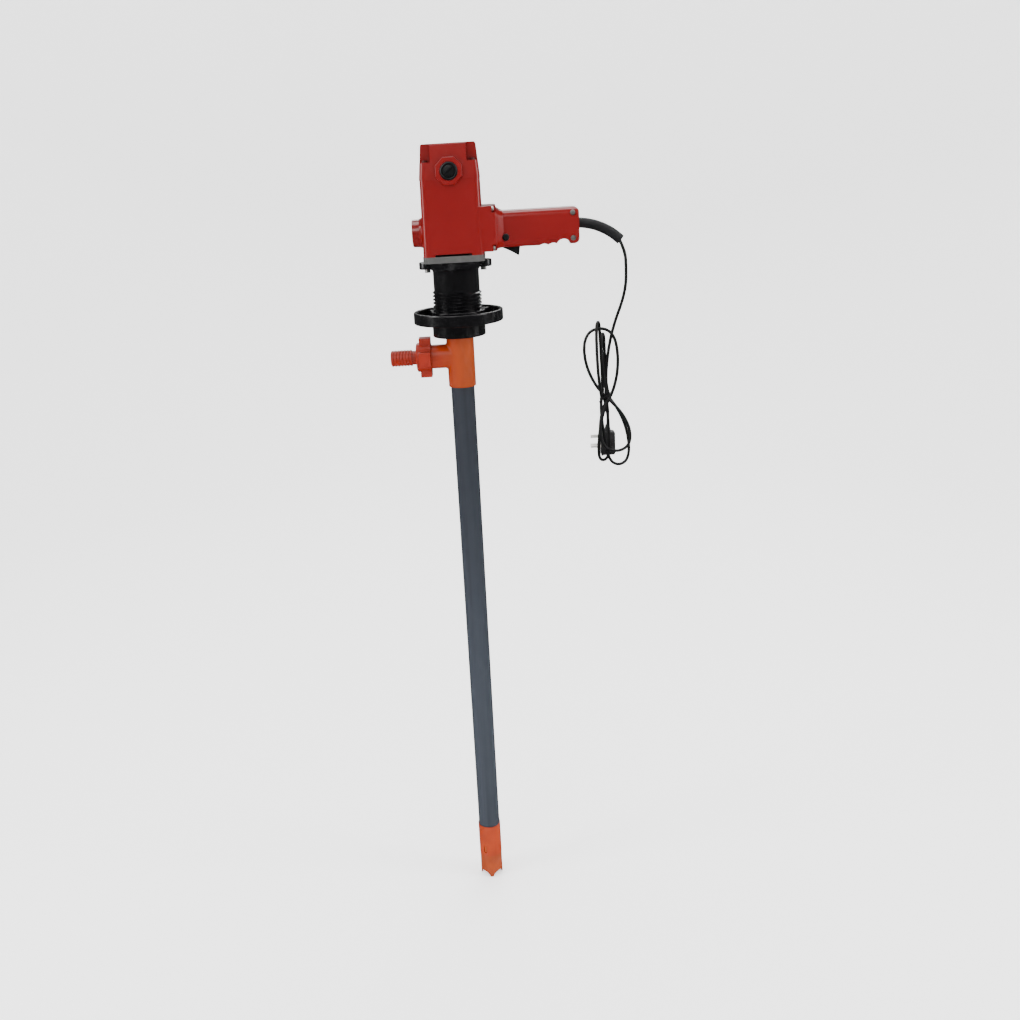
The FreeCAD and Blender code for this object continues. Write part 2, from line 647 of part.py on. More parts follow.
def side_boss():
    """Flared round boss for an auxiliary handle, before its hole."""
    z = (NECK_BOTTOM + NECK_TOP) / 2 - 3.0
    inner = HOUSING_HALF - 6.0
    points = [V(-inner, 0, 0), V(-inner, 0, SIDE_BOSS_R + 9.0), V(-HOUSING_HALF, 0, SIDE_BOSS_R + 6.0),
              V(-HOUSING_HALF - 2.5, 0, SIDE_BOSS_R + 2.0), V(-HOUSING_HALF - 6.0, 0, SIDE_BOSS_R + 0.6),
              V(-SIDE_BOSS_OUT + 1.2, 0, SIDE_BOSS_R), V(-SIDE_BOSS_OUT, 0, SIDE_BOSS_R - 1.2),
              V(-SIDE_BOSS_OUT, 0, 0)]
    boss = turned(points, X_AXIS)
    boss.translate(V(0, 0, z))
    return boss, z


def neck_block():
    """Block on the housing's side that the handle's collar sits against."""
    half = -FACE_Y
    neck = block(HOUSING_HALF - 14.0, NECK_END, -half, half, NECK_BOTTOM, NECK_TOP)
    return neck.makeFillet(1.5, [edge for edge in neck.Edges if edge.BoundBox.XLength > 5])


def collar_screw_places():
    inset = 5.0
    return [(sy * (-FACE_Y - inset), z) for sy in (-1, 1)
            for z in (NECK_BOTTOM + inset, NECK_TOP - inset)]


def motor_housing():
    body = tapered_prism(HOUSING_HALF, HOUSING_TOP_HALF, HOUSING_CORNER, HOUSING_BOTTOM, SEAM)
    boss, boss_z = side_boss()
    body = joined(body, [neck_block(), boss])
    start = V(-SIDE_BOSS_OUT - 1, 0, boss_z)
    wires = block(HOUSING_BORE - 6.0, NECK_END + 1, -9.0, 9.0, SWITCH_BOTTOM + 2.0, SWITCH_BOTTOM + 22.0)
    exhaust = block(-EXHAUST_HALF, EXHAUST_HALF, -HOUSING_HALF - 5, HOUSING_HALF + 5,
                    HOUSING_BOTTOM - 1, HOUSING_BOTTOM + EXHAUST_H)
    cuts = [cyl(HOUSING_BORE, HOUSING_BOTTOM - 1, SEAM + 1), wires, exhaust,
            rod(SIDE_HOLE_R, start, start.add(V(SIDE_HOLE_DEPTH + 1, 0, 0)))]
    for x, y in corner_places(HOUSING_HALF - 11.0):
        cuts.append(cyl(2.5, HOUSING_BOTTOM - 1, HOUSING_BOTTOM + 17.0, x, y))
    for x, y in corner_places(CAP_TOP_HALF - 6.0):
        cuts.append(cyl(2.2, SEAM - 14.0, SEAM + 1, x, y))
    for y, z in collar_screw_places():
        cuts.append(rod(2.0, V(NECK_END - 16.0, y, z), V(NECK_END + 1, y, z)))
    return body.cut(cuts)


def brush_boss(sign):
    """Octagonal boss on the cap's front or back."""
    radius = BOSS_FLATS / 2 / math.cos(math.radians(22.5))
    corners = []
    for i in range(8):
        a = math.radians(22.5 + 45 * i)
        corners.append(V(radius * math.cos(a), 0, BRUSH_Z + radius * math.sin(a)))
    face = Part.Face(Part.makePolygon(corners + [corners[0]]))
    boss = face.extrude(V(0, -FACE_Y + BOSS_OUT, 0))
    boss = boss.makeFillet(1.2, [edge for edge in boss.Edges
                                 if edge.BoundBox.YMin > -FACE_Y + BOSS_OUT - 0.1])
    if sign < 0:
        boss.rotate(V(0, 0, 0), Z_AXIS, 180)
    return boss


def rear_cap():
    body = tapered_prism(CAP_FOOT_HALF, CAP_TOP_HALF, HOUSING_CORNER - 1.0, SEAM, CAP_TOP)
    body = body.makeFillet(3.0, [edge for edge in body.Edges if edge.BoundBox.ZMin > CAP_TOP - 0.1])
    outer = 80.0
    pockets = []
    for sx in (-1, 1):
        for sy in (-1, 1):
            xs = sorted((sx * CAP_POCKET_IN, sx * outer))
            ys = sorted((sy * (CAP_TOP_HALF - 12.0), sy * outer))
            pockets.append(block(xs[0], xs[1], ys[0], ys[1], CAP_TOP - CAP_POCKET_H, CAP_TOP + 1))
    body = body.cut(pockets)
    below = tapered_prism(HOUSING_HALF, HOUSING_TOP_HALF, HOUSING_CORNER, HOUSING_BOTTOM, SEAM)
    body = joined(body, [brush_boss(sign).cut(below) for sign in (-1, 1)])
    hollow = cyl(HOUSING_BORE - 7.5, SEAM - 1, CAP_TOP - CAP_ROOF)
    hub = cyl(TOP_BEARING_R + 4.0, SPINDLE_TOP - TOP_BEARING_H - 2.0, CAP_TOP - 2.0)
    hub = hub.cut(cyl(TOP_BEARING_R, 0, SPINDLE_TOP + 1.0))
    body = joined(body.cut(hollow), [hub])
    cuts = cap_holes()
    for x, y in corner_places(CAP_TOP_HALF - 6.0):
        cuts.append(cyl(2.2, SEAM - 1, CAP_TOP, x, y))
    return body.cut(cuts)


def cap_holes():
    """Brush bores on the front and back, and inlet slots on the two sides."""
    cuts = []
    for sign in (-1, 1):
        outside = V(0, sign * 90, BRUSH_Z)
        cuts.append(rod(BRUSH_CAP_R + 0.9, V(0, sign * -FACE_Y, BRUSH_Z), outside))
        cuts.append(rod(10.3, V(0, sign * 20, BRUSH_Z), outside))
        for i in range(VENT_COUNT):
            y = (i - (VENT_COUNT - 1) / 2) * 7.0
            slot = block(CAP_TOP_HALF - 12.0, 80.0, y - 1.6, y + 1.6, SEAM + 12.0, SEAM + 44.0)
            cuts += around(slot, 1, 0 if sign > 0 else 180)
    return cuts


def cap_screws():
    seat = CAP_TOP - CAP_POCKET_H
    return Part.makeCompound([screw(4.2, 3.6, 2.2, V(x, y, seat), V(0, 0, -1), seat - SEAM + 13.0, 1.9)
                              for x, y in corner_places(CAP_TOP_HALF - 6.0)])


def brush_holder(sign):
    near = COMMUTATOR_R + 4.0
    far = -FACE_Y - 5.0
    ys = sorted((sign * near, sign * far))
    half_w = BRUSH_W / 2 + SLIDE_FIT
    half_h = BRUSH_H / 2 + SLIDE_FIT
    tube = block(-half_w - 1.6, half_w + 1.6, ys[0], ys[1],
                 BRUSH_Z - half_h - 1.6, BRUSH_Z + half_h + 1.6)
    return tube.common(rod(10.3, V(0, ys[0], BRUSH_Z), V(0, ys[1], BRUSH_Z))).cut(
        block(-half_w, half_w, ys[0] - 1, ys[1] + 1, BRUSH_Z - half_h, BRUSH_Z + half_h))


def brush_holders():
    return Part.makeCompound([brush_holder(sign) for sign in (-1, 1)])


def carbon_brush(sign):
    near = COMMUTATOR_R + GAP
    ys = sorted((sign * near, sign * (near + BRUSH_L)))
    half = BRUSH_W / 2
    return block(-half, half, ys[0], ys[1], BRUSH_Z - BRUSH_H / 2, BRUSH_Z + BRUSH_H / 2)


def brush_spring(sign):
    near = COMMUTATOR_R + GAP + BRUSH_L + GAP
    length = -FACE_Y - 5.2 - near
    return coil(2.7, 0.7, V(0, sign * near, BRUSH_Z), V(0, sign, 0), length, 6)


def brush_caps():
    caps = []
    for sign in (-1, 1):
        out = V(0, sign, 0)
        face = -FACE_Y + BOSS_OUT + 1.4
        head = rod(BRUSH_CAP_R, V(0, sign * (-FACE_Y + 0.8), BRUSH_Z), V(0, sign * face, BRUSH_Z))
        head = head.makeFillet(1.6, [edge for edge in head.Edges
                                     if abs(edge.BoundBox.YMin) > face - 0.1])
        stem = rod(10.0, V(0, sign * (-FACE_Y - 4.8), BRUSH_Z), V(0, sign * (-FACE_Y + 1), BRUSH_Z))
        slot = block(-9.0, 9.0, -1.3, 1.3, -1.3, 1.3)
        slot.rotate(V(0, 0, 0), Y_AXIS, 38)
        slot.translate(V(0, sign * face, BRUSH_Z))
        caps.append(head.fuse(stem).removeSplitter().cut(slot))
    return Part.makeCompound(caps)


def stator_core():
    outer = HOUSING_BORE
    body = ring(outer, outer - 6.5, CORE_BOTTOM - 2.0, CORE_TOP + 2.0)
    shoe_in = CORE_R + 0.6
    shoe = ring(shoe_in + 4.0, shoe_in, CORE_BOTTOM - 2.0, CORE_TOP + 2.0)
    wedge_half = math.tan(math.radians(50))
    parts = []
    for sign in (-1, 1):
        reach = sign * 60.0
        wedge = Part.Face(Part.makePolygon([V(0, 0, CORE_BOTTOM - 2.0),
                                            V(reach, -abs(reach) * wedge_half, CORE_BOTTOM - 2.0),
                                            V(reach, abs(reach) * wedge_half, CORE_BOTTOM - 2.0),
                                            V(0, 0, CORE_BOTTOM - 2.0)]))
        parts.append(shoe.common(wedge.extrude(V(0, 0, CORE_H + 4.0))))
        xs = sorted((sign * (shoe_in + 2.0), sign * (outer - 4.0)))
        parts.append(block(xs[0], xs[1], -11.0, 11.0, CORE_BOTTOM - 2.0, CORE_TOP + 2.0)
                     .cut(cyl(shoe_in + 1.0, 0, SEAM)))
    return joined(body, parts)


def field_coils():
    coils = []
    inner = CORE_R + 5.1
    outer = HOUSING_BORE - 7.0
    for sign in (-1, 1):
        xs = sorted((sign * inner, sign * outer))
        winding = block(xs[0], xs[1], -20.0, 20.0, CORE_BOTTOM - 10.0, CORE_TOP + 10.0)
        winding = winding.makeFillet(3.0, [edge for edge in winding.Edges if edge.BoundBox.XLength > 3])
        opening = block(xs[0] - 1, xs[1] + 1, -11.3, 11.3, CORE_BOTTOM - 2.3, CORE_TOP + 2.3)
        coils.append(winding.cut(opening).common(cyl(outer, 0, SEAM)))
    return Part.makeCompound(coils)


def motor_spindle():
    low = COUPLING_Z + 8.0
    points = [V(0, 0, low), V(SPINDLE_R, 0, low), V(SPINDLE_R, 0, CORE_BOTTOM - 12.0),
              V(SPINDLE_R + 2.0, 0, CORE_BOTTOM - 12.0), V(SPINDLE_R + 2.0, 0, CORE_TOP + 12.0),
              V(SPINDLE_R, 0, CORE_TOP + 12.0), V(SPINDLE_R, 0, SPINDLE_TOP), V(0, 0, SPINDLE_TOP)]
    return turned(points)


def rotor_core():
    body = ring(CORE_R, SPINDLE_R + 2.0, CORE_BOTTOM, CORE_TOP)
    slot = block(CORE_R - 9.0, CORE_R + 1.0, -1.3, 1.3, CORE_BOTTOM - 1, CORE_TOP + 1)
    return body.cut(around(slot, SLOT_COUNT))


def rotor_winding():
    ends = []
    for low, high in ((CORE_BOTTOM - 9.0, CORE_BOTTOM), (CORE_TOP, CORE_TOP + 11.0)):
        end = ring(CORE_R - 3.0, SPINDLE_R + 2.0, low, high)
        ends.append(end.makeFillet(3.0, [edge for edge in end.Edges
                                         if edge.BoundBox.ZLength < 0.1 and edge.BoundBox.XLength > 30]))
    return Part.makeCompound(ends)


def commutator():
    body = ring(COMMUTATOR_R, SPINDLE_R, COMMUTATOR_BOTTOM, COMMUTATOR_BOTTOM + COMMUTATOR_H)
    groove = block(COMMUTATOR_R - 0.8, COMMUTATOR_R + 1.0, -0.35, 0.35,
                   COMMUTATOR_BOTTOM - 1, COMMUTATOR_BOTTOM + COMMUTATOR_H + 1)
    return body.cut(around(groove, 2 * SLOT_COUNT))


def cooling_fan():
    low = HOUSING_BOTTOM + BEARING_H + 1.5
    plate = ring(FAN_R, SPINDLE_R, low + 12.0, low + 14.0)
    hub = ring(11.0, SPINDLE_R, low, low + 14.0)
    blade = block(11.5, FAN_R - 1.0, -1.0, 1.0, low + 2.0, low + 13.0)
    inner = block(10.0, 12.5, -1.0, 1.0, low + 2.0, low + 13.0)
    return joined(plate, [hub] + around(blade, FAN_BLADES) + around(inner, FAN_BLADES))


# --- handle ---------------------------------------------------------------------
def grip_profile():
    """Side outline of the grip, pushed out across its depth, with finger hollows."""
    half = GRIP_DEPTH / 2 + 1.0
    body = block(THROAT_END - 4.0, GRIP_END, -half, half, GRIP_BOTTOM, GRIP_TOP)
    corners = [edge for edge in body.Edges
               if edge.BoundBox.YLength > 5 and edge.BoundBox.XMin > GRIP_END - 0.1]
    body = body.makeFillet(9.0, corners)
    hollows = []
    for back, radius, sink in ((60.0, 11.0, 2.6), (44.5, 11.0, 3.4), (27.0, 12.5, 9.2)):
        x = GRIP_END - back
        z = GRIP_BOTTOM - radius + sink
        hollows.append(rod(radius, V(x, -half - 1, z), V(x, half + 1, z)))
    return body.cut(hollows)


def section_wire(x, half_y, bottom, top, corner):
    """Rounded rectangle standing across the handle at one station."""
    wire = rounded_wire((top - bottom) / 2, half_y, corner, 0)
    wire.rotate(V(0, 0, 0), Y_AXIS, -90)
    wire.translate(V(x, 0, (top + bottom) / 2))
    return wire


def handle_outside():
    half = GRIP_DEPTH / 2
    section = section_wire(THROAT_END - 4.0, half, GRIP_BOTTOM, GRIP_TOP, 12.0)
    grip = Part.Face(section).extrude(V(GRIP_END, 0, 0)).common(grip_profile())
    throat = Part.makeLoft([
        section_wire(COLLAR_END - 2.0, -FACE_Y - 8.0, GRIP_BOTTOM - 1.0, NECK_TOP - 2.5, 8.0),
        section_wire(COLLAR_END + 5.0, half + 8.0, GRIP_BOTTOM, GRIP_TOP + 2.5, 11.0),
        section_wire(THROAT_END - 4.0, half, GRIP_BOTTOM, GRIP_TOP, 12.0)], True)
    reach = -FACE_Y
    collar = block(NECK_END, COLLAR_END, -reach, reach, NECK_BOTTOM, NECK_TOP)
    collar = collar.makeFillet(2.5, [edge for edge in collar.Edges
                                     if edge.BoundBox.XMin > COLLAR_END - 0.1])
    notches = []
    for y, z in collar_screw_places():
        notches.append(block(NECK_END + 7.0, COLLAR_END + 1, y - 6.0, y + 6.0, z - 6.0, z + 6.0))
    return joined(collar.cut(notches), [throat, grip])


def handle_inside():
    half = GRIP_DEPTH / 2 - GRIP_WALL
    low = GRIP_BOTTOM + 4.5
    high = GRIP_TOP - GRIP_WALL
    grip_room = block(NECK_END - 1, GRIP_END - 72.0, -half, half, low, high)
    rear_room = block(GRIP_END - 73.0, GRIP_END - 22.0, -half, half, GRIP_BOTTOM + 14.0, high)
    collar_room = block(NECK_END - 1, COLLAR_END - 2.0, -31.0, 31.0,
                        NECK_BOTTOM + 10.0, NECK_TOP - 10.0)
    mouth = V(GRIP_END - 24.0, 0, CORD_EXIT_Z)
    exit_hole = rod(SLEEVE_R, mouth, V(GRIP_END + 5, 0, CORD_EXIT_Z))
    trigger_hole = block(TRIGGER_X - 9.3, TRIGGER_X + TRIGGER_REACH + 2.4, -TRIGGER_WIDTH / 2 - 0.6,
                         TRIGGER_WIDTH / 2 + 0.6, GRIP_BOTTOM - 8.0, low + 1.0)
    pin_hole = rod(TRIGGER_PIN_R, V(TRIGGER_X, -half - 2.0, PIVOT_Z), V(TRIGGER_X, half + 2.0, PIVOT_Z))
    return [grip_room, rear_room, collar_room, exit_hole, trigger_hole, pin_hole]


def end_screw_places():
    return [(GRIP_END - 10.5, GRIP_TOP - 9.5), (GRIP_END - 10.5, GRIP_BOTTOM + 10.0)]


def handle_shells():
    body = handle_outside().cut(handle_inside())
    half = GRIP_DEPTH / 2
    cuts = []
    for x, z in end_screw_places():
        cuts += [rod(2.0, V(x, -half - 1, z), V(x, half - 5.0, z)),
                 rod(4.8, V(x, -half - 1, z), V(x, -half + 2.8, z))]
    for y, z in collar_screw_places():
        cuts.append(rod(2.0, V(NECK_END - 1, y, z), V(COLLAR_END, y, z)))
    body = body.cut(cuts)
    front = body.common(block(0, 400, -100, 0, 0, 500))
    back = body.common(block(0, 400, 0, 100, 0, 500))
    return joined(front, [lock_guide()]).cut(button_hole()), back


def lock_guide():
    """Bracket inside the front shell that the lock button's stem runs through."""
    wall = -GRIP_DEPTH / 2 + GRIP_WALL - 0.1
    low = BUTTON_Z - BUTTON_R - 1.4
    high = BUTTON_Z + BUTTON_R + 1.4
    side = BUTTON_R + 2.0
    outer = block(BUTTON_X - side, BUTTON_X + side, wall, -9.0, low, high)
    inner = block(BUTTON_X - side + 1.5, BUTTON_X + side - 1.5, wall - 1, -10.5, low - 1, high + 1)
    stem = rod(BUTTON_STEM_R + GAP, V(BUTTON_X, -20, BUTTON_Z), V(BUTTON_X, 0, BUTTON_Z))
    return outer.cut([inner, stem])


def button_hole():
    inner = V(BUTTON_X, -GRIP_DEPTH / 2 + GRIP_WALL + 0.5, BUTTON_Z)
    return rod(BUTTON_R + GAP, V(BUTTON_X, -40, BUTTON_Z), inner)


def lock_button():
    face = -GRIP_DEPTH / 2
    head = rod(BUTTON_R, V(BUTTON_X, face - 3.4, BUTTON_Z), V(BUTTON_X, face + 4.6, BUTTON_Z))
    head = head.makeFillet(2.4, [edge for edge in head.Edges if edge.BoundBox.YMax < face - 3.3])
    stem = rod(BUTTON_STEM_R, V(BUTTON_X, face + 4.0, BUTTON_Z), V(BUTTON_X, -8.6, BUTTON_Z))
    return joined(head, [stem])


def lock_spring():
    start = -GRIP_DEPTH / 2 + 4.6 + GAP
    return coil(4.4, 0.9, V(BUTTON_X, start, BUTTON_Z), Y_AXIS, -10.5 - GAP - start, 3)


def trigger():
    half = TRIGGER_WIDTH / 2
    x = TRIGGER_X
    z = PIVOT_Z
    heel = V(x + TRIGGER_REACH, 0, z + TRIGGER_TOP)
    tip = V(x + TRIGGER_REACH - 5.2, 0, z - TRIGGER_TIP)
    pad_start = V(x - 6.0, 0, z - 6.8)
    hollow = V((tip.x + pad_start.x) / 2 + 0.6, 0, (tip.z + pad_start.z) / 2 + 0.8)
    chin = V(tip.x + 1.6, 0, tip.z + 0.6)
    edges = [Part.LineSegment(V(x - 4.0, 0, z + TRIGGER_TOP), heel).toShape(),
             Part.LineSegment(heel, chin).toShape(), Part.LineSegment(chin, tip).toShape(),
             Part.Arc(tip, hollow, pad_start).toShape(),
             Part.LineSegment(pad_start, V(x - 4.0, 0, z + TRIGGER_TOP)).toShape()]
    body = Part.Face(Part.Wire(edges)).extrude(V(0, 2 * half, 0))
    body.translate(V(0, -half, 0))
    return body.cut(rod(TRIGGER_PIN_R + RUN_FIT, V(x, -half - 1, z), V(x, half + 1, z)))


def trigger_pin():
    reach = GRIP_DEPTH / 2 - GRIP_WALL + 2.0
    return rod(TRIGGER_PIN_R, V(TRIGGER_X, -reach, PIVOT_Z), V(TRIGGER_X, reach, PIVOT_Z))


def switch_body():
    x0 = TRIGGER_X + 0.5
    half = SWITCH_W / 2
    body = block(x0, x0 + SWITCH_L, -half, half, SWITCH_BOTTOM, SWITCH_BOTTOM + SWITCH_H)
    body = body.makeFillet(1.2, [edge for edge in body.Edges if edge.BoundBox.YLength > 5])
    hole = cyl(PLUNGER_R + RUN_FIT, SWITCH_BOTTOM - 1, SWITCH_BOTTOM + 14.0, TRIGGER_X + PLUNGER_X)
    return body.cut(hole)


def switch_plunger():
    x = TRIGGER_X + PLUNGER_X
    low = PIVOT_Z + TRIGGER_TOP + GAP + 0.05
    tip = Part.makeSphere(PLUNGER_R, V(x, 0, low + PLUNGER_R))
    return joined(cyl(PLUNGER_R, low + PLUNGER_R, SWITCH_BOTTOM + 6.0, x), [tip])


def trigger_spring():
    low = PIVOT_Z + TRIGGER_TOP + GAP
    start = V(TRIGGER_X + PLUNGER_X, 0, low)
    return coil(PLUNGER_R + 1.2, 0.8, start, Z_AXIS, SWITCH_BOTTOM - GAP - low, 4)


def handle_end_screws():
    seat = -GRIP_DEPTH / 2 + 2.8
    return Part.makeCompound([screw(4.6, 2.6, 2.0, V(x, seat, z), Y_AXIS, GRIP_DEPTH - 8.5, 1.7)
                              for x, z in end_screw_places()])


def collar_screws():
    seat = NECK_END + 7.0
    return Part.makeCompound([screw(4.2, 3.8, 2.0, V(seat, y, z), V(-1, 0, 0), 20.0, 1.8)
                              for y, z in collar_screw_places()])


def inner_wiring():
    """Two wires from the switch to the motor, and the cord's end inside the grip."""
    z = SWITCH_BOTTOM + 12.0
    wires = [rod(1.4, V(HOUSING_BORE + 0.3, y, z), V(TRIGGER_X + 0.5, y, z)) for y in (-5.0, 5.0)]
    start = V(TRIGGER_X + 0.5 + SWITCH_L, 0, CORD_EXIT_Z)
    cord = rod(CORD_D / 2, start, V(GRIP_END - 26.0, 0, CORD_EXIT_Z))
    return Part.makeCompound(wires + [cord])


def cord_clamp():
    x = GRIP_END - 42.0
    half = GRIP_DEPTH / 2 - GRIP_WALL
    body = block(x, x + 10.0, -half, half, CORD_EXIT_Z - 2.0, CORD_EXIT_Z + 7.0)
    body = body.makeFillet(2.0, [edge for edge in body.Edges
                                 if edge.BoundBox.XLength > 5 and edge.BoundBox.ZMin > CORD_EXIT_Z])
    return body.cut(rod(CORD_D / 2, V(x - 1, 0, CORD_EXIT_Z), V(x + 11, 0, CORD_EXIT_Z)))


# --- cord -----------------------------------------------------------------------
def sleeve_path():
    """Centreline of the rubber sleeve: straight in the handle, then drooping."""
    z = CORD_EXIT_Z
    root = V(GRIP_END - 26.0, 0, z)
    leave = V(GRIP_END + 3.0, 0, z)
    middle = V(GRIP_END + 38.0, 0, z - 9.0)
    end = V(GRIP_END + 71.5, 0, z - 32.0)
    return root, leave, middle, end


def cord_sleeve():
    root, leave, middle, end = sleeve_path()
    bend = Part.Arc(leave, middle, end)
    axis = Part.Wire([Part.LineSegment(root, leave).toShape(), bend.toShape()])
    section = Part.Wire(Part.makeCircle(SLEEVE_R, root, X_AXIS))
    body = axis.makePipeShell([section], True, False)
    collar = rod(SLEEVE_R + 3.0, root, root.add(V(4.0, 0, 0)))
    away = bend.tangent(bend.LastParameter)[0]
    mouth_end = end.add(away * 2.0)
    mouth = rod(SLEEVE_MOUTH_R, end.sub(away * SLEEVE_MOUTH_DEPTH), mouth_end)
    return joined(body, [collar]).cut(mouth)


def cord_path(route):
    """Straight runs joined by tangent arcs, and the radius of each arc."""
    points = [V(*p) for p in route]
    edges = []
    radii = []
    last = points[0]
    for before, corner, after in zip(points, points[1:], points[2:]):
        back = before.sub(corner)
        ahead = after.sub(corner)
        shorter = min(back.Length, ahead.Length)
        turn = math.pi - back.getAngle(ahead)
        radius = 0.45 * shorter / math.tan(turn / 2)
        radii.append(radius)
        back.normalize()
        ahead.normalize()
        start = corner.add(back * (0.45 * shorter))
        end = corner.add(ahead * (0.45 * shorter))
        inward = back.add(ahead).normalize()
        reach = radius / math.cos(turn / 2) - radius
        edges.append(Part.LineSegment(last, start).toShape())
        edges.append(Part.Arc(start, corner.add(inward * reach), end).toShape())
        last = end
    edges.append(Part.LineSegment(last, points[-1]).toShape())
    return Part.Wire(edges), radii


def cord_lead():
    path, radii = cord_path(CORD_ROUTE)
    run = V(*CORD_ROUTE[1]).sub(V(*CORD_ROUTE[0]))
    section = Part.Wire(Part.makeCircle(CORD_D / 2, V(*CORD_ROUTE[0]), run))
    tube = path.makePipeShell([section], True, False)
    expected = math.pi * (CORD_D / 2) ** 2 * path.Length
    print("cord radii", [round(r, 1) for r in radii], "in diameters", [round(r / CORD_D, 1) for r in radii])
    print("cord length", round(path.Length, 1), "volume ratio", round(tube.Volume / expected, 4))
    return tube


def plug_shape():
    x, y, z, long, deep, high = PLUG_BOX
    return block(x, x + long, y, y + deep, z, z + high)


def cord_hank():
    """Outer shape of the hanging, tied hank, with room for the plug."""
    half = HANK_DEPTH / 2
    curve = Part.BSplineCurve()
    curve.interpolate([V(x, -half, z) for x, z in HANK_OUTLINE], PeriodicFlag=True)
    body = Part.Face(Part.Wire(curve.toShape())).extrude(V(0, 2 * half, 0))
    pins = block(PLUG_BOX[0] - 40, PLUG_BOX[0] + 1, PLUG_BOX[1], 60, PLUG_BOX[2] - 1, -95)
    waist = block(200, 320, -60, 60, -42.0, -24.0).cut(waist_core(0.0))
    return body.cut([plug_shape().fuse(pins), waist])


def waist_core(grow):
    """Upright oval bundle at the tie."""
    x = (HANK_OUTLINE[7][0] + HANK_OUTLINE[22][0]) / 2
    wire = rounded_wire(13.0 + grow, 11.0 + grow, 9.0 + grow, -60)
    wire.translate(V(x, 0, 0))
    return Part.Face(wire).extrude(V(0, 0, 60))


def cord_tie():
    band = waist_core(1.2).cut(waist_core(0.0))
    return band.common(block(200, 320, -60, 60, -34.5, -32.0))


def plug_body():
    body = plug_shape()
    return body.makeFillet(5.0, [edge for edge in body.Edges if edge.BoundBox.XLength > 5])


def plug_pins():
    x, y, z, long, deep, high = PLUG_BOX
    pins = []
    for dy, dz, tilt in ((10.5, 35.0, 0), (5.5, 17.0, 30), (15.5, 17.0, -30)):
        pin = block(-PIN_REACH, 6.0, -0.8, 0.8, -3.2, 3.2)
        pin.rotate(V(0, 0, 0), X_AXIS, tilt)
        pin.translate(V(x, y + dy, z + dz))
        pins.append(pin)
    return Part.makeCompound(pins)


# --- writing --------------------------------------------------------------------
def build():
    front, back = handle_shells()
    plug = plug_body()
    pins = plug_pins()
    return {
        "outer_tube": outer_tube(), "inner_tube": inner_tube(), "shaft_bushes": shaft_bushes(),
        "drive_shaft": drive_shaft(), "foot_guide": foot_guide(), "foot_housing": foot_housing(),
        "foot_strainer": foot_strainer(), "impeller": impeller(), "impeller_nut": impeller_nut(),
        "pump_tee": pump_tee(), "branch_gasket": branch_gasket(), "hose_tail": hose_tail(),
        "union_nut": union_nut(), "seal_carrier": seal_carrier(), "shaft_seal": shaft_seal(),
        "pump_bearing": pump_bearing(), "slip_washer": slip_washer(), "handwheel_nut": handwheel_nut(),
        "adapter_barrel": adapter_barrel(), "adapter_bolts": adapter_bolts(),
        "coupling_upper": coupling_upper(), "coupling_lower": coupling_lower(),
        "coupling_spider": coupling_spider(), "bearing_plate": bearing_plate(),
        "plate_screws": plate_screws(), "motor_bearing": motor_bearing(), "top_bearing": top_bearing(),
        "motor_housing": motor_housing(), "rear_cap": rear_cap(), "cap_screws": cap_screws(),
        "brush_holders": brush_holders(), "carbon_brush_front": carbon_brush(-1),
        "carbon_brush_back": carbon_brush(1), "brush_spring_front": brush_spring(-1),
        "brush_spring_back": brush_spring(1), "brush_caps": brush_caps(), "stator_core": stator_core(),
        "field_coils": field_coils(), "motor_spindle": motor_spindle(), "rotor_core": rotor_core(),
        "rotor_winding": rotor_winding(), "commutator": commutator(), "cooling_fan": cooling_fan(),
        "handle_front": front, "handle_back": back, "lock_button": lock_button(),
        "lock_spring": lock_spring(), "trigger": trigger(), "trigger_pin": trigger_pin(),
        "trigger_spring": trigger_spring(), "switch_body": switch_body(),
        "switch_plunger": switch_plunger(), "handle_screws": Part.makeCompound(
            [handle_end_screws(), collar_screws()]), "inner_wiring": inner_wiring(),
        "cord_clamp": cord_clamp(), "cord_sleeve": cord_sleeve(),
        "cord_lead": cord_lead(), "cord_hank": cord_hank(), "cord_tie": cord_tie(),
        "plug": Part.makeCompound([plug.cut(pins), pins]),
    }


def main():
    os.makedirs("parts", exist_ok=True)
    for name, shape in build().items():
        if not shape.isValid() or shape.Volume <= 0:
            print("PROBLEM", name, shape.isValid(), shape.Volume)
        print(name, len(shape.Solids), round(shape.Volume / 1000.0, 2))
        shape.exportStep(os.path.join("parts", name + ".step"))


main()
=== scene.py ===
"""Looks of a drum barrel pump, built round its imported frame."""

import logging
import math
from dataclasses import dataclass, field
from enum import Enum
from functools import lru_cache
from typing import Any, Iterable, Sequence

import bmesh
import bpy
from mathutils import Matrix, Vector


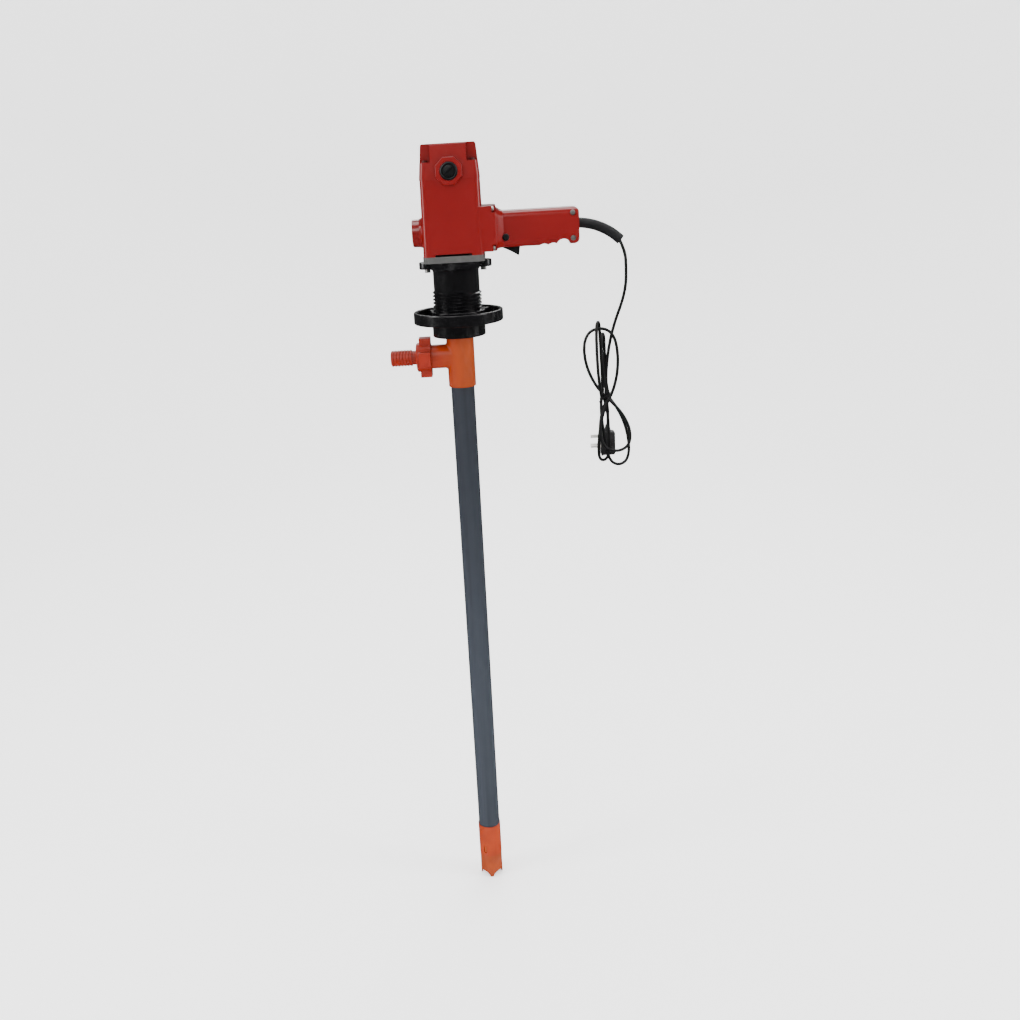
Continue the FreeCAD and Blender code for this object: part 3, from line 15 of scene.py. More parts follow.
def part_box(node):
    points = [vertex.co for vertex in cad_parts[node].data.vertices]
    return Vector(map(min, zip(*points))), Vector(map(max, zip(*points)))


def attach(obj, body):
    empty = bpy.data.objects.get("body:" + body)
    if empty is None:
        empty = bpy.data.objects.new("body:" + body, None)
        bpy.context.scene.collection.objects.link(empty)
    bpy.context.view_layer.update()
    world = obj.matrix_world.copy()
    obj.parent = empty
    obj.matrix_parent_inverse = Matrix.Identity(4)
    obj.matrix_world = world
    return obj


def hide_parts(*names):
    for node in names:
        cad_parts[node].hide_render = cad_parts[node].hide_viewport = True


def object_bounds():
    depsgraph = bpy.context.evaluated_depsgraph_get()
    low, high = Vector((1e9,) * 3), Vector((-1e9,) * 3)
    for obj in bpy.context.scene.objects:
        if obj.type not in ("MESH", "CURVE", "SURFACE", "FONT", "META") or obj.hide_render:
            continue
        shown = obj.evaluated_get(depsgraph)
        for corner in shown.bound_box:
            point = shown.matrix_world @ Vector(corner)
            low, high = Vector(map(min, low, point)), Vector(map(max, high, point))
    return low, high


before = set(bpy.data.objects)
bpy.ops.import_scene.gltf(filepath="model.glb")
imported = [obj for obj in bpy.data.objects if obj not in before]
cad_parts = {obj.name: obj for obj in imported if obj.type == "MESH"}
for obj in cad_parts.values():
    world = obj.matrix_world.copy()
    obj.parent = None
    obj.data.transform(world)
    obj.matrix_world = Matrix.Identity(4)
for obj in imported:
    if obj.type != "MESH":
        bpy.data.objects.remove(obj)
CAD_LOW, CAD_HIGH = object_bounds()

LOG = logging.getLogger("barrel_pump")
MM = 0.001

Colour = tuple[float, float, float]
Spot = tuple[float, float, float]


# --- shader building ------------------------------------------------------------
class Num:
    """A number that varies over a surface, with the operators that shader maths uses."""

    def __init__(self, shader: "Shader", socket: bpy.types.NodeSocket) -> None:
        """Wraps an output socket of the shader's tree."""
        self.shader = shader
        self.socket = socket

    def _maths(self, operation: str, first: "Num | float", second: "Num | float") -> "Num":
        """Adds one Math node."""
        return self.shader.node("ShaderNodeMath", {"operation": operation}, {0: first, 1: second})

    def __add__(self, other: "Num | float") -> "Num":
        """Sum."""
        return self._maths("ADD", self, other)

    def __radd__(self, other: float) -> "Num":
        """Sum with a number on the left."""
        return self._maths("ADD", other, self)

    def __sub__(self, other: "Num | float") -> "Num":
        """Difference."""
        return self._maths("SUBTRACT", self, other)

    def __rsub__(self, other: float) -> "Num":
        """Difference from a number on the left."""
        return self._maths("SUBTRACT", other, self)

    def __mul__(self, other: "Num | float") -> "Num":
        """Product."""
        return self._maths("MULTIPLY", self, other)

    def __rmul__(self, other: float) -> "Num":
        """Product with a number on the left."""
        return self._maths("MULTIPLY", other, self)

    def __pow__(self, other: "Num | float") -> "Num":
        """Power."""
        return self._maths("POWER", self, other)

    def step(self, low: float, high: float) -> "Num":
        """Smooth step from 0 below `low` to 1 above `high`.

        Args:
            low: Value at which the step starts.
            high: Value at which the step ends.

        Returns:
            The stepped value, from 0 to 1.
        """
        settings = {"interpolation_type": "SMOOTHSTEP"}
        return self.shader.node("ShaderNodeMapRange", settings,
                                {"Value": self, "From Min": low, "From Max": high})


class Shader:
    """Node tree of one material, which ends in its Principled surface."""

    def __init__(self, name: str) -> None:
        """Starts a material with an empty surface.

        Args:
            name: The material's name.
        """
        self.material = bpy.data.materials.new(name)
        self.material.use_nodes = True
        self.tree = self.material.node_tree
        self.surface = self.tree.nodes["Principled BSDF"]
        self.place = self.node("ShaderNodeTexCoord", output="Object")

    def node(self, kind: str, settings: dict[str, Any] | None = None,
             inputs: dict[int | str, Any] | None = None, output: int | str = 0) -> Num:
        """Adds any node.

        Args:
            kind: The node's type.
            settings: Properties, set before the sockets.
            inputs: Values or links for its sockets, by number or by name.
            output: Which of its outputs is wanted.

        Returns:
            The chosen output.
        """
        made = self.tree.nodes.new(kind)
        for key, value in (settings or {}).items():
            setattr(made, key, value)
        for key, value in (inputs or {}).items():
            self.feed(made, key, value)
        live = [socket for socket in made.outputs if socket.enabled]
        if isinstance(output, str):
            return Num(self, next(socket for socket in live if socket.name == output))
        return Num(self, live[output])

    def feed(self, node: bpy.types.Node, key: int | str, value: Any) -> None:
        """Sets or links one socket.

        Args:
            node: The node that has the socket.
            key: The socket's number or name.
            value: A number, a colour or vector, or an output to link.
        """
        if isinstance(key, int):
            socket = node.inputs[key]
        else:
            socket = next(s for s in node.inputs if s.enabled and s.name == key)
        if isinstance(value, Num):
            self.tree.links.new(value.socket, socket)
        elif isinstance(value, tuple) and len(value) == 3 and socket.type == "RGBA":
            socket.default_value = (*value, 1.0)
        else:
            socket.default_value = value

    def set(self, **sockets: Any) -> None:
        """Sets or links sockets of the surface, whose names have underscores for spaces."""
        for key, value in sockets.items():
            self.feed(self.surface, key.replace("_", " "), value)

    def stretched(self, stretch: Spot) -> Num:
        """Object coordinates scaled along each axis."""
        return self.node("ShaderNodeMapping", None, {"Vector": self.place, "Scale": stretch})

    def noise(self, scale: float, detail: float = 3.0, stretch: Spot | None = None) -> Num:
        """Soft noise, about 0.5 on average.

        Args:
            scale: Waves per metre.
            detail: Octaves.
            stretch: Scale of each axis, where the noise is drawn out.

        Returns:
            The noise value.
        """
        place = self.stretched(stretch) if stretch else self.place
        return self.node("ShaderNodeTexNoise", None,
                         {"Vector": place, "Scale": scale, "Detail": detail}, "Fac")

    def specks(self, scale: float, size: float) -> Num:
        """Scattered round specks: 1 inside a speck.

        Args:
            scale: Cells per metre.
            size: Speck radius as a share of a cell.

        Returns:
            The mask.
        """
        cell = self.node("ShaderNodeTexVoronoi", None,
                         {"Vector": self.place, "Scale": scale, "Randomness": 1.0}, "Distance")
        return 1.0 - cell.step(size * 0.5, size)

    def mix(self, first: Any, second: Any, share: Any) -> Num:
        """Blends two colours.

        Args:
            first: Colour where share is 0.
            second: Colour where share is 1.
            share: A number or an output.

        Returns:
            The blended colour.
        """
        return self.node("ShaderNodeMix", {"data_type": "RGBA"},
                         {"Factor": share, "A": first, "B": second})

    def axis(self, name: str) -> Num:
        """One Object coordinate, in metres.

        Args:
            name: X, Y or Z.

        Returns:
            That coordinate.
        """
        return self.node("ShaderNodeSeparateXYZ", None, {"Vector": self.place}, name)

    def relief(self, height: Num, depth: float) -> None:
        """Bumps the surface.

        Args:
            height: Height from 0 to 1.
            depth: Metres from 0 to 1.
        """
        self.set(Normal=self.node("ShaderNodeBump", None,
                                  {"Height": height, "Distance": depth, "Strength": 1.0}))


def toned(colour: Colour, gain: float) -> Colour:
    """A colour made lighter or darker by a factor."""
    return tuple(min(1.0, part * gain) for part in colour)


# --- finishes -------------------------------------------------------------------
@dataclass(frozen=True)
class Finish:
    """What every finish has."""

    colour: Colour
    roughness: float

    def dress(self, shader: Shader) -> None:
        """Builds the finish's nodes.

        Args:
            shader: The material's tree.
        """
        raise NotImplementedError


@dataclass(frozen=True)
class Enamel(Finish):
    """Gloss enamel sprayed on a sand casting."""

    peel: float = 0.00004

    def dress(self, shader: Shader) -> None:
        """Cloudy enamel with orange peel and a little settled dust."""
        cloud = shader.noise(9.0, 2.0)
        dust = shader.specks(300.0, 0.11) * shader.noise(23.0).step(0.5, 0.72)
        deep = shader.mix(toned(self.colour, 0.86), toned(self.colour, 1.12), cloud)
        shader.set(Base_Color=shader.mix(deep, (0.42, 0.22, 0.19), dust * 0.3),
                   Roughness=self.roughness + 0.10 * cloud + 0.3 * dust,
                   Coat_Weight=0.35, Coat_Roughness=0.12, Specular_IOR_Level=0.32)
        shader.relief(shader.noise(420.0, 2.0), self.peel)


@dataclass(frozen=True)
class Moulded(Finish):
    """Injection-moulded or extruded plastic."""

    far_hue_and_shade: Colour | None = None
    far_axis: str = "X"
    far_from: float = 0.0
    far_to: float = 1.0
    flow: Spot = (1.0, 1.0, 1.0)
    scuff: float = 0.25
    scuff_colour: Colour = (0.55, 0.55, 0.55)
    translucency: float = 0.0
    grain: float = 0.00004
    shine: float = 0.4

    def dress(self, shader: Shader) -> None:
        """Flow marks, fine grain, scuffs and dust in one skin."""
        base: Any = self.colour
        # Blend towards the far colour along one axis: a real hue shift on the tee, painted shade on the grey
        # tube.
        if self.far_hue_and_shade:
            share = shader.axis(self.far_axis).step(self.far_from, self.far_to)
            base = shader.mix(self.colour, self.far_hue_and_shade, share)
        flow = shader.noise(34.0, 4.0, self.flow)
        fine = shader.noise(900.0, 2.0)
        shade = shader.mix(base, (0.0, 0.0, 0.0), 0.22 * flow.step(0.35, 0.75))
        rubbed = shader.noise(55.0, 6.0, (1.0, 1.0, 0.35)).step(0.56, 0.74)
        dust = shader.specks(420.0, 0.16) * shader.noise(17.0).step(0.42, 0.7)
        worn = (rubbed * 0.35 + dust) * self.scuff
        shader.set(Base_Color=shader.mix(shade, self.scuff_colour, worn),
                   Roughness=self.roughness + 0.12 * flow + 0.3 * worn,
                   Specular_IOR_Level=self.shine)
        if self.translucency:
            shader.set(Subsurface_Weight=self.translucency, Subsurface_Radius=(1.0, 0.35, 0.12),
                       Subsurface_Scale=0.004)
        shader.relief(fine * 0.4 + flow * 0.6, self.grain * 6)


class Streak(Enum):
    """How a metal is marked by the way it was made."""

    CAST = (1.0, 1.0, 1.0)
    TURNED = (0.15, 0.15, 9.0)
    GROUND = (1.0, 9.0, 9.0)


@dataclass(frozen=True)
class Metal(Finish):
    """Bare or plated metal."""

    streak: Streak = Streak.TURNED
    grain: float = 0.00003
    metallic: float = 1.0

    def dress(self, shader: Shader) -> None:
        """Tool marks or casting grain, with tarnish in the low spots."""
        marks = shader.noise(130.0, 5.0, self.streak.value)
        blot = shader.noise(60.0, 3.0)
        pits = shader.specks(700.0, 0.3) * shader.noise(90.0).step(0.35, 0.65)
        bright = shader.mix(toned(self.colour, 0.72), toned(self.colour, 1.15), marks)
        shader.set(Base_Color=shader.mix(bright, toned(self.colour, 0.35), pits * 0.5),
                   Metallic=self.metallic, Roughness=self.roughness + 0.18 * blot + 0.15 * pits)
        shader.relief(marks * 0.6 + (1.0 - pits) * 0.4, self.grain * 6)


@dataclass(frozen=True)
class Layered(Finish):
    """Stacked sheet or wound wire: fine repeated lines along one axis."""

    pitch: float = 0.0008
    along: str = "Z"
    metallic: float = 0.7
    gap_colour: Colour = (0.02, 0.02, 0.02)

    def dress(self, shader: Shader) -> None:
        """Lines a pitch apart, uneven in tone."""
        wobble = shader.noise(80.0, 2.0) * self.pitch * 1.5
        turns = (shader.axis(self.along) + wobble) * (1.0 / self.pitch)
        phase = shader.node("ShaderNodeMath", {"operation": "PINGPONG"}, {0: turns, 1: 1.0})
        line = phase.step(0.05, 0.45)
        tone = shader.mix(toned(self.colour, 0.75), toned(self.colour, 1.2), shader.noise(220.0))
        shader.set(Base_Color=shader.mix(self.gap_colour, tone, line), Metallic=self.metallic,
                   Roughness=self.roughness + 0.25 * (1.0 - line))
        shader.relief(line, self.pitch * 0.4)


@dataclass(frozen=True)
class Rubber(Finish):
    """Soft black rubber or flexible cord sheath."""

    grain: float = 0.00005

    def dress(self, shader: Shader) -> None:
        """Matt skin with a fine grain and a bloom of dust."""
        bloom = shader.noise(26.0, 5.0)
        fine = shader.noise(1400.0, 2.0)
        dust = shader.specks(520.0, 0.14) * bloom.step(0.45, 0.7)
        skin = shader.mix(self.colour, toned(self.colour, 2.4), bloom)
        shader.set(Base_Color=shader.mix(skin, (0.16, 0.155, 0.145), dust * 0.2),
                   Roughness=self.roughness + 0.14 * bloom, Specular_IOR_Level=0.3)
        shader.relief(fine * 0.7 + bloom * 0.3, self.grain * 5)


class Look(Enum):
    """The pump's finishes."""

    RED_ENAMEL = Enamel((0.120, 0.0002, 0.0001), 0.24)
    BLACK_GLOSS = Moulded((0.0022, 0.0022, 0.0026), 0.17, scuff=0.05, flow=(1.0, 1.0, 0.3), shine=0.45)
    BLACK_MATT = Moulded((0.0030, 0.0030, 0.0034), 0.38, scuff=0.06, shine=0.35)
    TEE_ORANGE = Moulded((0.205, 0.0135, 0.0), 0.3, (0.220, 0.029, 0.0), "X", -0.05, 0.018,
                         (1.0, 1.0, 0.4), 0.03, shine=0.28)
    UNION_ORANGE = Moulded((0.195, 0.0080, 0.0), 0.32, scuff=0.03, scuff_colour=(0.5, 0.12, 0.05),
                           shine=0.3)
    FOOT_ORANGE = Moulded((0.285, 0.025, 0.0), 0.36, scuff=0.04, shine=0.3)
    STRAINER_ORANGE = Moulded((0.265, 0.033, 0.0006), 0.42, scuff=0.07, shine=0.3)
    # Painted shade: the grey tube is darker at the top and lighter towards the foot.
    TUBE_GREY = Moulded((0.0145, 0.0175, 0.0250), 0.5, (0.028, 0.034, 0.046), "Z", -0.02, -0.75,
                        (3.0, 3.0, 0.05), 0.05, (0.16, 0.17, 0.19), shine=0.3)
    CAP_PAINT = Moulded((0.05, 0.0004, 0.0003), 0.4, scuff=0.1)
    NATURAL_NYLON = Moulded((0.78, 0.76, 0.70), 0.4, scuff=0.05, translucency=0.2)
    CAST_GREY = Metal((0.072, 0.072, 0.069), 0.6, Streak.CAST, 0.00009, 0.4)
    GROUND_STEEL = Metal((0.55, 0.55, 0.56), 0.24, Streak.TURNED)
    ZINC = Metal((0.66, 0.65, 0.62), 0.22, Streak.TURNED)
    DULL_ZINC = Metal((0.20, 0.195, 0.185), 0.4, Streak.TURNED, 0.00004, 0.8)
    PIN_METAL = Metal((0.85, 0.84, 0.80), 0.3, Streak.GROUND, 0.00003, 0.6)
    BRASS = Metal((0.72, 0.50, 0.18), 0.26, Streak.TURNED)
    COPPER = Metal((0.76, 0.34, 0.18), 0.25, Streak.TURNED)
    CARBON = Metal((0.03, 0.03, 0.032), 0.5, Streak.GROUND, 0.00004, 0.2)
    SHEET_STACK = Layered((0.32, 0.32, 0.34), 0.4)
    ENAMELLED_WIRE = Layered((0.52, 0.16, 0.05), 0.28, 0.0011, "Y", 0.5, (0.10, 0.02, 0.01))
    SEAL_RUBBER = Rubber((0.010, 0.010, 0.010), 0.6)
    SLEEVE_RUBBER = Rubber((0.0035, 0.0035, 0.004), 0.5)
    CORD_SHEATH = Rubber((0.0022, 0.0022, 0.0024), 0.4, 0.00003)
    PLUG_PLASTIC = Moulded((0.012, 0.012, 0.013), 0.5, scuff=0.12, grain=0.00008)


@lru_cache(maxsize=None)
def material(look: Look) -> bpy.types.Material:
    """The material of a finish, built once.

    Args:
        look: Which finish.

    Returns:
        The material.
    """
    shader = Shader(look.name.lower())
    look.value.dress(shader)
    return shader.material


# --- mesh building --------------------------------------------------------------
@dataclass(frozen=True)
class Room:
    """Box that a CAD node fills at rest, in millimetres."""

    low: Vector
    high: Vector

    @classmethod
    def of(cls, node: str) -> "Room":
        """The box of a node."""
        low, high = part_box(node)
        return cls(low / MM, high / MM)

    @property
    def middle(self) -> Vector:
        """Centre of the box."""
        return (self.low + self.high) / 2

    @property
    def size(self) -> Vector:
        """Lengths of its sides."""
        return self.high - self.low


class Form:
    """A mesh in millimetres, shaped by bmesh operators and set down as one piece."""

    def __init__(self) -> None:
        """Starts empty."""
        self.bm = bmesh.new()

    def turned(self, outline: Sequence[tuple[float, float]], steps: int = 96,
               closed: bool = False) -> "Form":
        """Spins an outline round Z.

        Args:
            outline: Radius and height of each corner.
            steps: Facets round the axis.
            closed: Whether the outline is a ring of its own, as a tube's wall is.

        Returns:
            This form.
        """
        verts = [self.bm.verts.new((radius, 0.0, height)) for radius, height in outline]
        pairs = list(zip(verts, verts[1:]))
        if closed:
            pairs.append((verts[-1], verts[0]))
        edges = [self.bm.edges.new(pair) for pair in pairs]
        bmesh.ops.spin(self.bm, geom=verts + edges, cent=(0, 0, 0), axis=(0, 0, 1),
                       angle=math.tau, steps=steps, use_merge=True)
        bmesh.ops.remove_doubles(self.bm, verts=self.bm.verts[:], dist=0.001)
        bmesh.ops.recalc_face_normals(self.bm, faces=self.bm.faces[:])
        return self

    def cube(self, size: Spot, centre: Spot = (0.0, 0.0, 0.0)) -> "Form":
        """Adds a block."""
        made = bmesh.ops.create_cube(self.bm, size=1.0)
        bmesh.ops.scale(self.bm, vec=size, verts=made["verts"])
        bmesh.ops.translate(self.bm, vec=centre, verts=made["verts"])
        return self

    def sharp(self, degrees: float) -> list[bmesh.types.BMEdge]:
        """Edges whose faces meet at more than an angle."""
        limit = math.radians(degrees)
        return [edge for edge in self.bm.edges
                if len(edge.link_faces) == 2 and edge.calc_face_angle(0.0) > limit]

    def bevel(self, width: float, segments: int = 2,
              edges: Iterable[bmesh.types.BMEdge] | None = None, degrees: float = 30.0) -> "Form":
        """Rounds edges.

        Args:
            width: Offset of the bevel.
            segments: Strips across it.
            edges: Edges to round, or the sharp ones.
            degrees: What counts as sharp.

        Returns:
            This form.
        """
        chosen = list(edges) if edges is not None else self.sharp(degrees)
        bmesh.ops.bevel(self.bm, geom=chosen, offset=width, segments=segments, profile=0.5,
                        affect="EDGES", material=-1, clamp_overlap=True)
        return self

    def moved(self, matrix: Matrix) -> "Form":
        """Places everything made so far."""
        bmesh.ops.transform(self.bm, matrix=matrix, verts=self.bm.verts[:])
        return self

    def add(self, other: "Form", matrix: Matrix | None = None) -> "Form":
        """Takes in a copy of another form.

        Args:
            other: The form to copy.
            matrix: Where it goes.

        Returns:
            This form.
        """
        copy = bpy.data.meshes.new("copy")
        other.bm.to_mesh(copy)
        if matrix is not None:
            copy.transform(matrix)
        self.bm.from_mesh(copy)
        bpy.data.meshes.remove(copy)
        return self

    def set_down(self, name: str, look: Look, body: str, slot: str,
                 replaces: Sequence[str] = (), crease: float = 35.0) -> bpy.types.Object:
        """Makes the piece and lets it ride.

        Args:
            name: The piece's name.
            look: Its finish.
            body: The CAD body it moves with.
            slot: The record's material slot; not used.
            replaces: CAD nodes it stands for.
            crease: Angle above which an edge stays sharp.

        Returns:
            The new object.
        """
        bmesh.ops.scale(self.bm, vec=(MM, MM, MM), verts=self.bm.verts[:])
        mesh = bpy.data.meshes.new(name)
        self.bm.to_mesh(mesh)
        self.bm.free()
        mesh.polygons.foreach_set("use_smooth", [True] * len(mesh.polygons))
        mesh.set_sharp_from_angle(angle=math.radians(crease))
        piece = bpy.data.objects.new(name, mesh)
        bpy.context.scene.collection.objects.link(piece)
        return settle(piece, look, body, replaces)


def settle(piece: bpy.types.Object, look: Look, body: str,
           replaces: Sequence[str] = ()) -> bpy.types.Object:
    """Finishes a new piece and lets it ride on its body.

    Args:
        piece: The object.
        look: Its finish.
        body: The CAD body it moves with.
        replaces: CAD nodes it stands for.

    Returns:
        The same object.
    """
    piece.data.materials.append(material(look))
    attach(piece, body)
    if replaces:
        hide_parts(*replaces)
    LOG.info("piece %s rides on %s", piece.name, body)
    return piece


def dress_nodes(looks: dict[Look, Sequence[str]]) -> None:
    """Gives CAD nodes their finishes.

    Args:
        looks: The nodes of each finish.
    """
    for look, nodes in looks.items():
        for name in nodes:
            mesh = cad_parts[name].data
            mesh.materials.clear()
            mesh.materials.append(material(look))
        LOG.info("%s on %s", look.name.lower(), ", ".join(nodes))


def drum(radius: float, length: float, soft: float, steps: int = 64) -> Form:
    """Upright disc with softened rims, its foot at the origin.

    Args:
        radius: Outer radius.
        length: Height.
        soft: Width of the softening.
        steps: Facets round it.

    Returns:
        The form.
    """
    return Form().turned([(0.0, 0.0), (radius - soft, 0.0), (radius, soft), (radius, length - soft),
                          (radius - soft * 0.3, length - soft * 0.3), (radius - soft, length),
                          (0.0, length)], steps)


def helix(section: Sequence[tuple[float, float]], turns: float, pitch: float,
          steps_per_turn: int = 72) -> Form:
    """Sweeps a closed section along a screw line round Z.

    Args:
        section: Radius and height of each corner.
        turns: How many turns.
        pitch: Climb in one turn.
        steps_per_turn: Facets in one turn.

    Returns:
        The form.
    """
    form = Form()
    steps = round(turns * steps_per_turn)
    ring = [form.bm.verts.new((radius, 0.0, height)) for radius, height in section]
    face = form.bm.faces.new(ring)
    made = bmesh.ops.spin(form.bm, geom=[face] + list(face.edges) + ring, cent=(0, 0, 0),
                          axis=(0, 0, 1), dvec=(0, 0, pitch / steps_per_turn),
                          angle=math.tau * turns, steps=steps, use_merge=False)
    end = [item for item in made["geom_last"] if isinstance(item, bmesh.types.BMFace)]
    if not end:
        bmesh.ops.holes_fill(form.bm, edges=form.bm.edges[:], sides=len(section))
    bmesh.ops.remove_doubles(form.bm, verts=form.bm.verts[:], dist=0.0005)
    bmesh.ops.recalc_face_normals(form.bm, faces=form.bm.faces[:])
    return form


def turned_to(direction: Vector, place: Vector) -> Matrix:
    """Matrix that lays Z along a direction and moves the origin to a place."""
    return Matrix.Translation(place) @ direction.to_track_quat("Z", "Y").to_matrix().to_4x4()


def cross_screw(radius: float, height: float) -> Form:
    """Pan-head screw with a cross recess, its seat at the origin and its head up.

    Args:
        radius: Head radius.
        height: Head height.

    Returns:
        The form.
    """
    form = Form().turned([(0.0, height * 0.55), (radius * 0.22, height * 0.55),
                          (radius * 0.26, height), (radius * 0.55, height * 0.96),
                          (radius * 0.86, height * 0.7), (radius, height * 0.3), (radius, 0.0),
                          (0.0, 0.0)], 40)
    arm = Form().cube((radius * 1.25, radius * 0.2, height * 0.08), (0, 0, height * 0.97))
    for quarter in (45.0, 135.0):
        form.add(arm, Matrix.Rotation(math.radians(quarter), 4, "Z"))
    arm.bm.free()
    return form


# --- sub-assemblies -------------------------------------------------------------
@dataclass
class MotorUnit:
    """Red motor casting, cap, plate, and everything that turns or presses inside."""

    brush_z: float = field(default_factory=lambda: Room.of("brush_caps").middle.z)
    brush_face: float = field(default_factory=lambda: Room.of("brush_caps").high.y)
    cap_radius: float = 14.3
    stem_radius: float = 10.0
    stem_length: float = 5.6
    disc_length: float = 7.6
    slot_half: float = 1.3
    slot_turn: float = 38.0

    def brush_cap(self) -> Form:
        """Cap with a raised rim and a slotted middle, its outer face at the origin."""
        form = Form().turned([
            (0.0, -1.9), (10.6, -1.9), (11.2, -1.2), (11.6, -0.3), (12.4, 0.0), (13.4, -0.3),
            (self.cap_radius, -1.3), (self.cap_radius, -self.disc_length),
            (self.stem_radius, -self.disc_length),
            (self.stem_radius, -self.disc_length - self.stem_length),
            (0.0, -self.disc_length - self.stem_length)], 72)
        half = drum(9.2, 1.5, 0.35, 48)
        cut = bmesh.ops.bisect_plane(
            half.bm, geom=half.bm.verts[:] + half.bm.edges[:] + half.bm.faces[:],
            plane_co=(0.0, self.slot_half, 0.0), plane_no=(0.0, 1.0, 0.0), clear_inner=True)
        rim = [item for item in cut["geom_cut"] if isinstance(item, bmesh.types.BMEdge)]
        bmesh.ops.holes_fill(half.bm, edges=rim, sides=0)
        for turn in (0.0, 180.0):
            form.add(half, Matrix.Translation((0, 0, -1.95))
                     @ Matrix.Rotation(math.radians(turn), 4, "Z"))
        half.bm.free()
        return form.moved(Matrix.Rotation(math.radians(self.slot_turn), 4, "Z"))

    def brush_caps(self) -> None:
        """Both brush caps."""
        caps = Form()
        for side in (-1.0, 1.0):
            cap = self.brush_cap()
            place = Vector((0.0, side * self.brush_face, self.brush_z))
            caps.add(cap, turned_to(Vector((0.0, side, 0.0)), place))
            cap.bm.free()
        caps.set_down("slotted_brush_caps", Look.BLACK_MATT, "pump", "matt_black_plastic",
                      ["brush_caps"])

    def build(self) -> None:
        """Dresses the nodes and builds the new pieces."""
        self.dress()
        self.brush_caps()

    def dress(self) -> None:
        """Finishes of the motor's nodes."""
        dress_nodes({
            Look.RED_ENAMEL: ["motor_housing", "rear_cap"],
            Look.CAST_GREY: ["bearing_plate"],
            Look.BLACK_MATT: ["cooling_fan"],
            Look.CAP_PAINT: ["cap_screws"],
            Look.ZINC: ["plate_screws", "brush_spring_front", "brush_spring_back"],
            Look.GROUND_STEEL: ["motor_bearing", "top_bearing", "motor_spindle"],
            Look.SHEET_STACK: ["stator_core", "rotor_core"],
            Look.ENAMELLED_WIRE: ["field_coils", "rotor_winding"],
            Look.COPPER: ["commutator"],
            Look.BRASS: ["brush_holders"],
            Look.CARBON: ["carbon_brush_front", "carbon_brush_back"],
        })


@dataclass
class Handle:
    """Two-shell handle with its switch."""

    end_head: tuple[float, float] = (4.6, 2.6)
    collar_head: tuple[float, float] = (4.2, 3.8)
    shank_radius: float = 2.0
    end_shank: float = 35.5
    collar_shank: float = 20.0
    end_back: float = 10.5
    end_seat: float = -19.2
    end_heights: tuple[float, float] = (247.0, 288.5)
    collar_x: float = 67.0

    def one_screw(self, head: tuple[float, float], shank: float) -> Form:
        """Cross-recess screw whose seat is at the origin and whose head is up."""
        form = cross_screw(*head)
        stem = drum(self.shank_radius, shank, 0.2, 24)
        form.add(stem, Matrix.Translation((0.0, 0.0, -shank)))
        stem.bm.free()
        return form

    def screws(self) -> None:
        """Two screws through the grip's end and four in the collar's corners."""
        room = Room.of("handle_screws")
        grip = Room.of("handle_front")
        all_screws = Form()
        end = self.one_screw(self.end_head, self.end_shank)
        for z in self.end_heights:
            place = Vector((grip.high.x - self.end_back, self.end_seat, z))
            all_screws.add(end, turned_to(Vector((0.0, -1.0, 0.0)), place))
        end.bm.free()
        collar = self.one_screw(self.collar_head, self.collar_shank)
        inset_y = room.high.y - self.collar_head[0]
        for y in (-inset_y, inset_y):
            for z in (room.low.z + self.collar_head[0], room.high.z - self.collar_head[0]):
                place = Vector((self.collar_x, y, z))
                all_screws.add(collar, turned_to(Vector((1.0, 0.0, 0.0)), place))
        collar.bm.free()
        piece = all_screws.set_down("cross_screws", Look.DULL_ZINC, "pump", "zinc_steel",
                                    ["handle_screws"])
        piece.data.materials.append(material(Look.ZINC))
        for face in piece.data.polygons:
            face.material_index = int(face.center.x < 0.1)

    def build(self) -> None:
        """Dresses the nodes and builds the new pieces."""
        self.dress()
        self.screws()

    def dress(self) -> None:
        """Finishes of the handle's nodes."""
        dress_nodes({
            Look.RED_ENAMEL: ["handle_front", "handle_back"],
            Look.BLACK_MATT: ["lock_button", "trigger", "switch_body", "cord_clamp"],
            Look.NATURAL_NYLON: ["switch_plunger"],
            Look.ZINC: ["lock_spring", "trigger_pin", "trigger_spring"],
            Look.CORD_SHEATH: ["inner_wiring"],
            Look.SLEEVE_RUBBER: ["cord_sleeve"],
        })


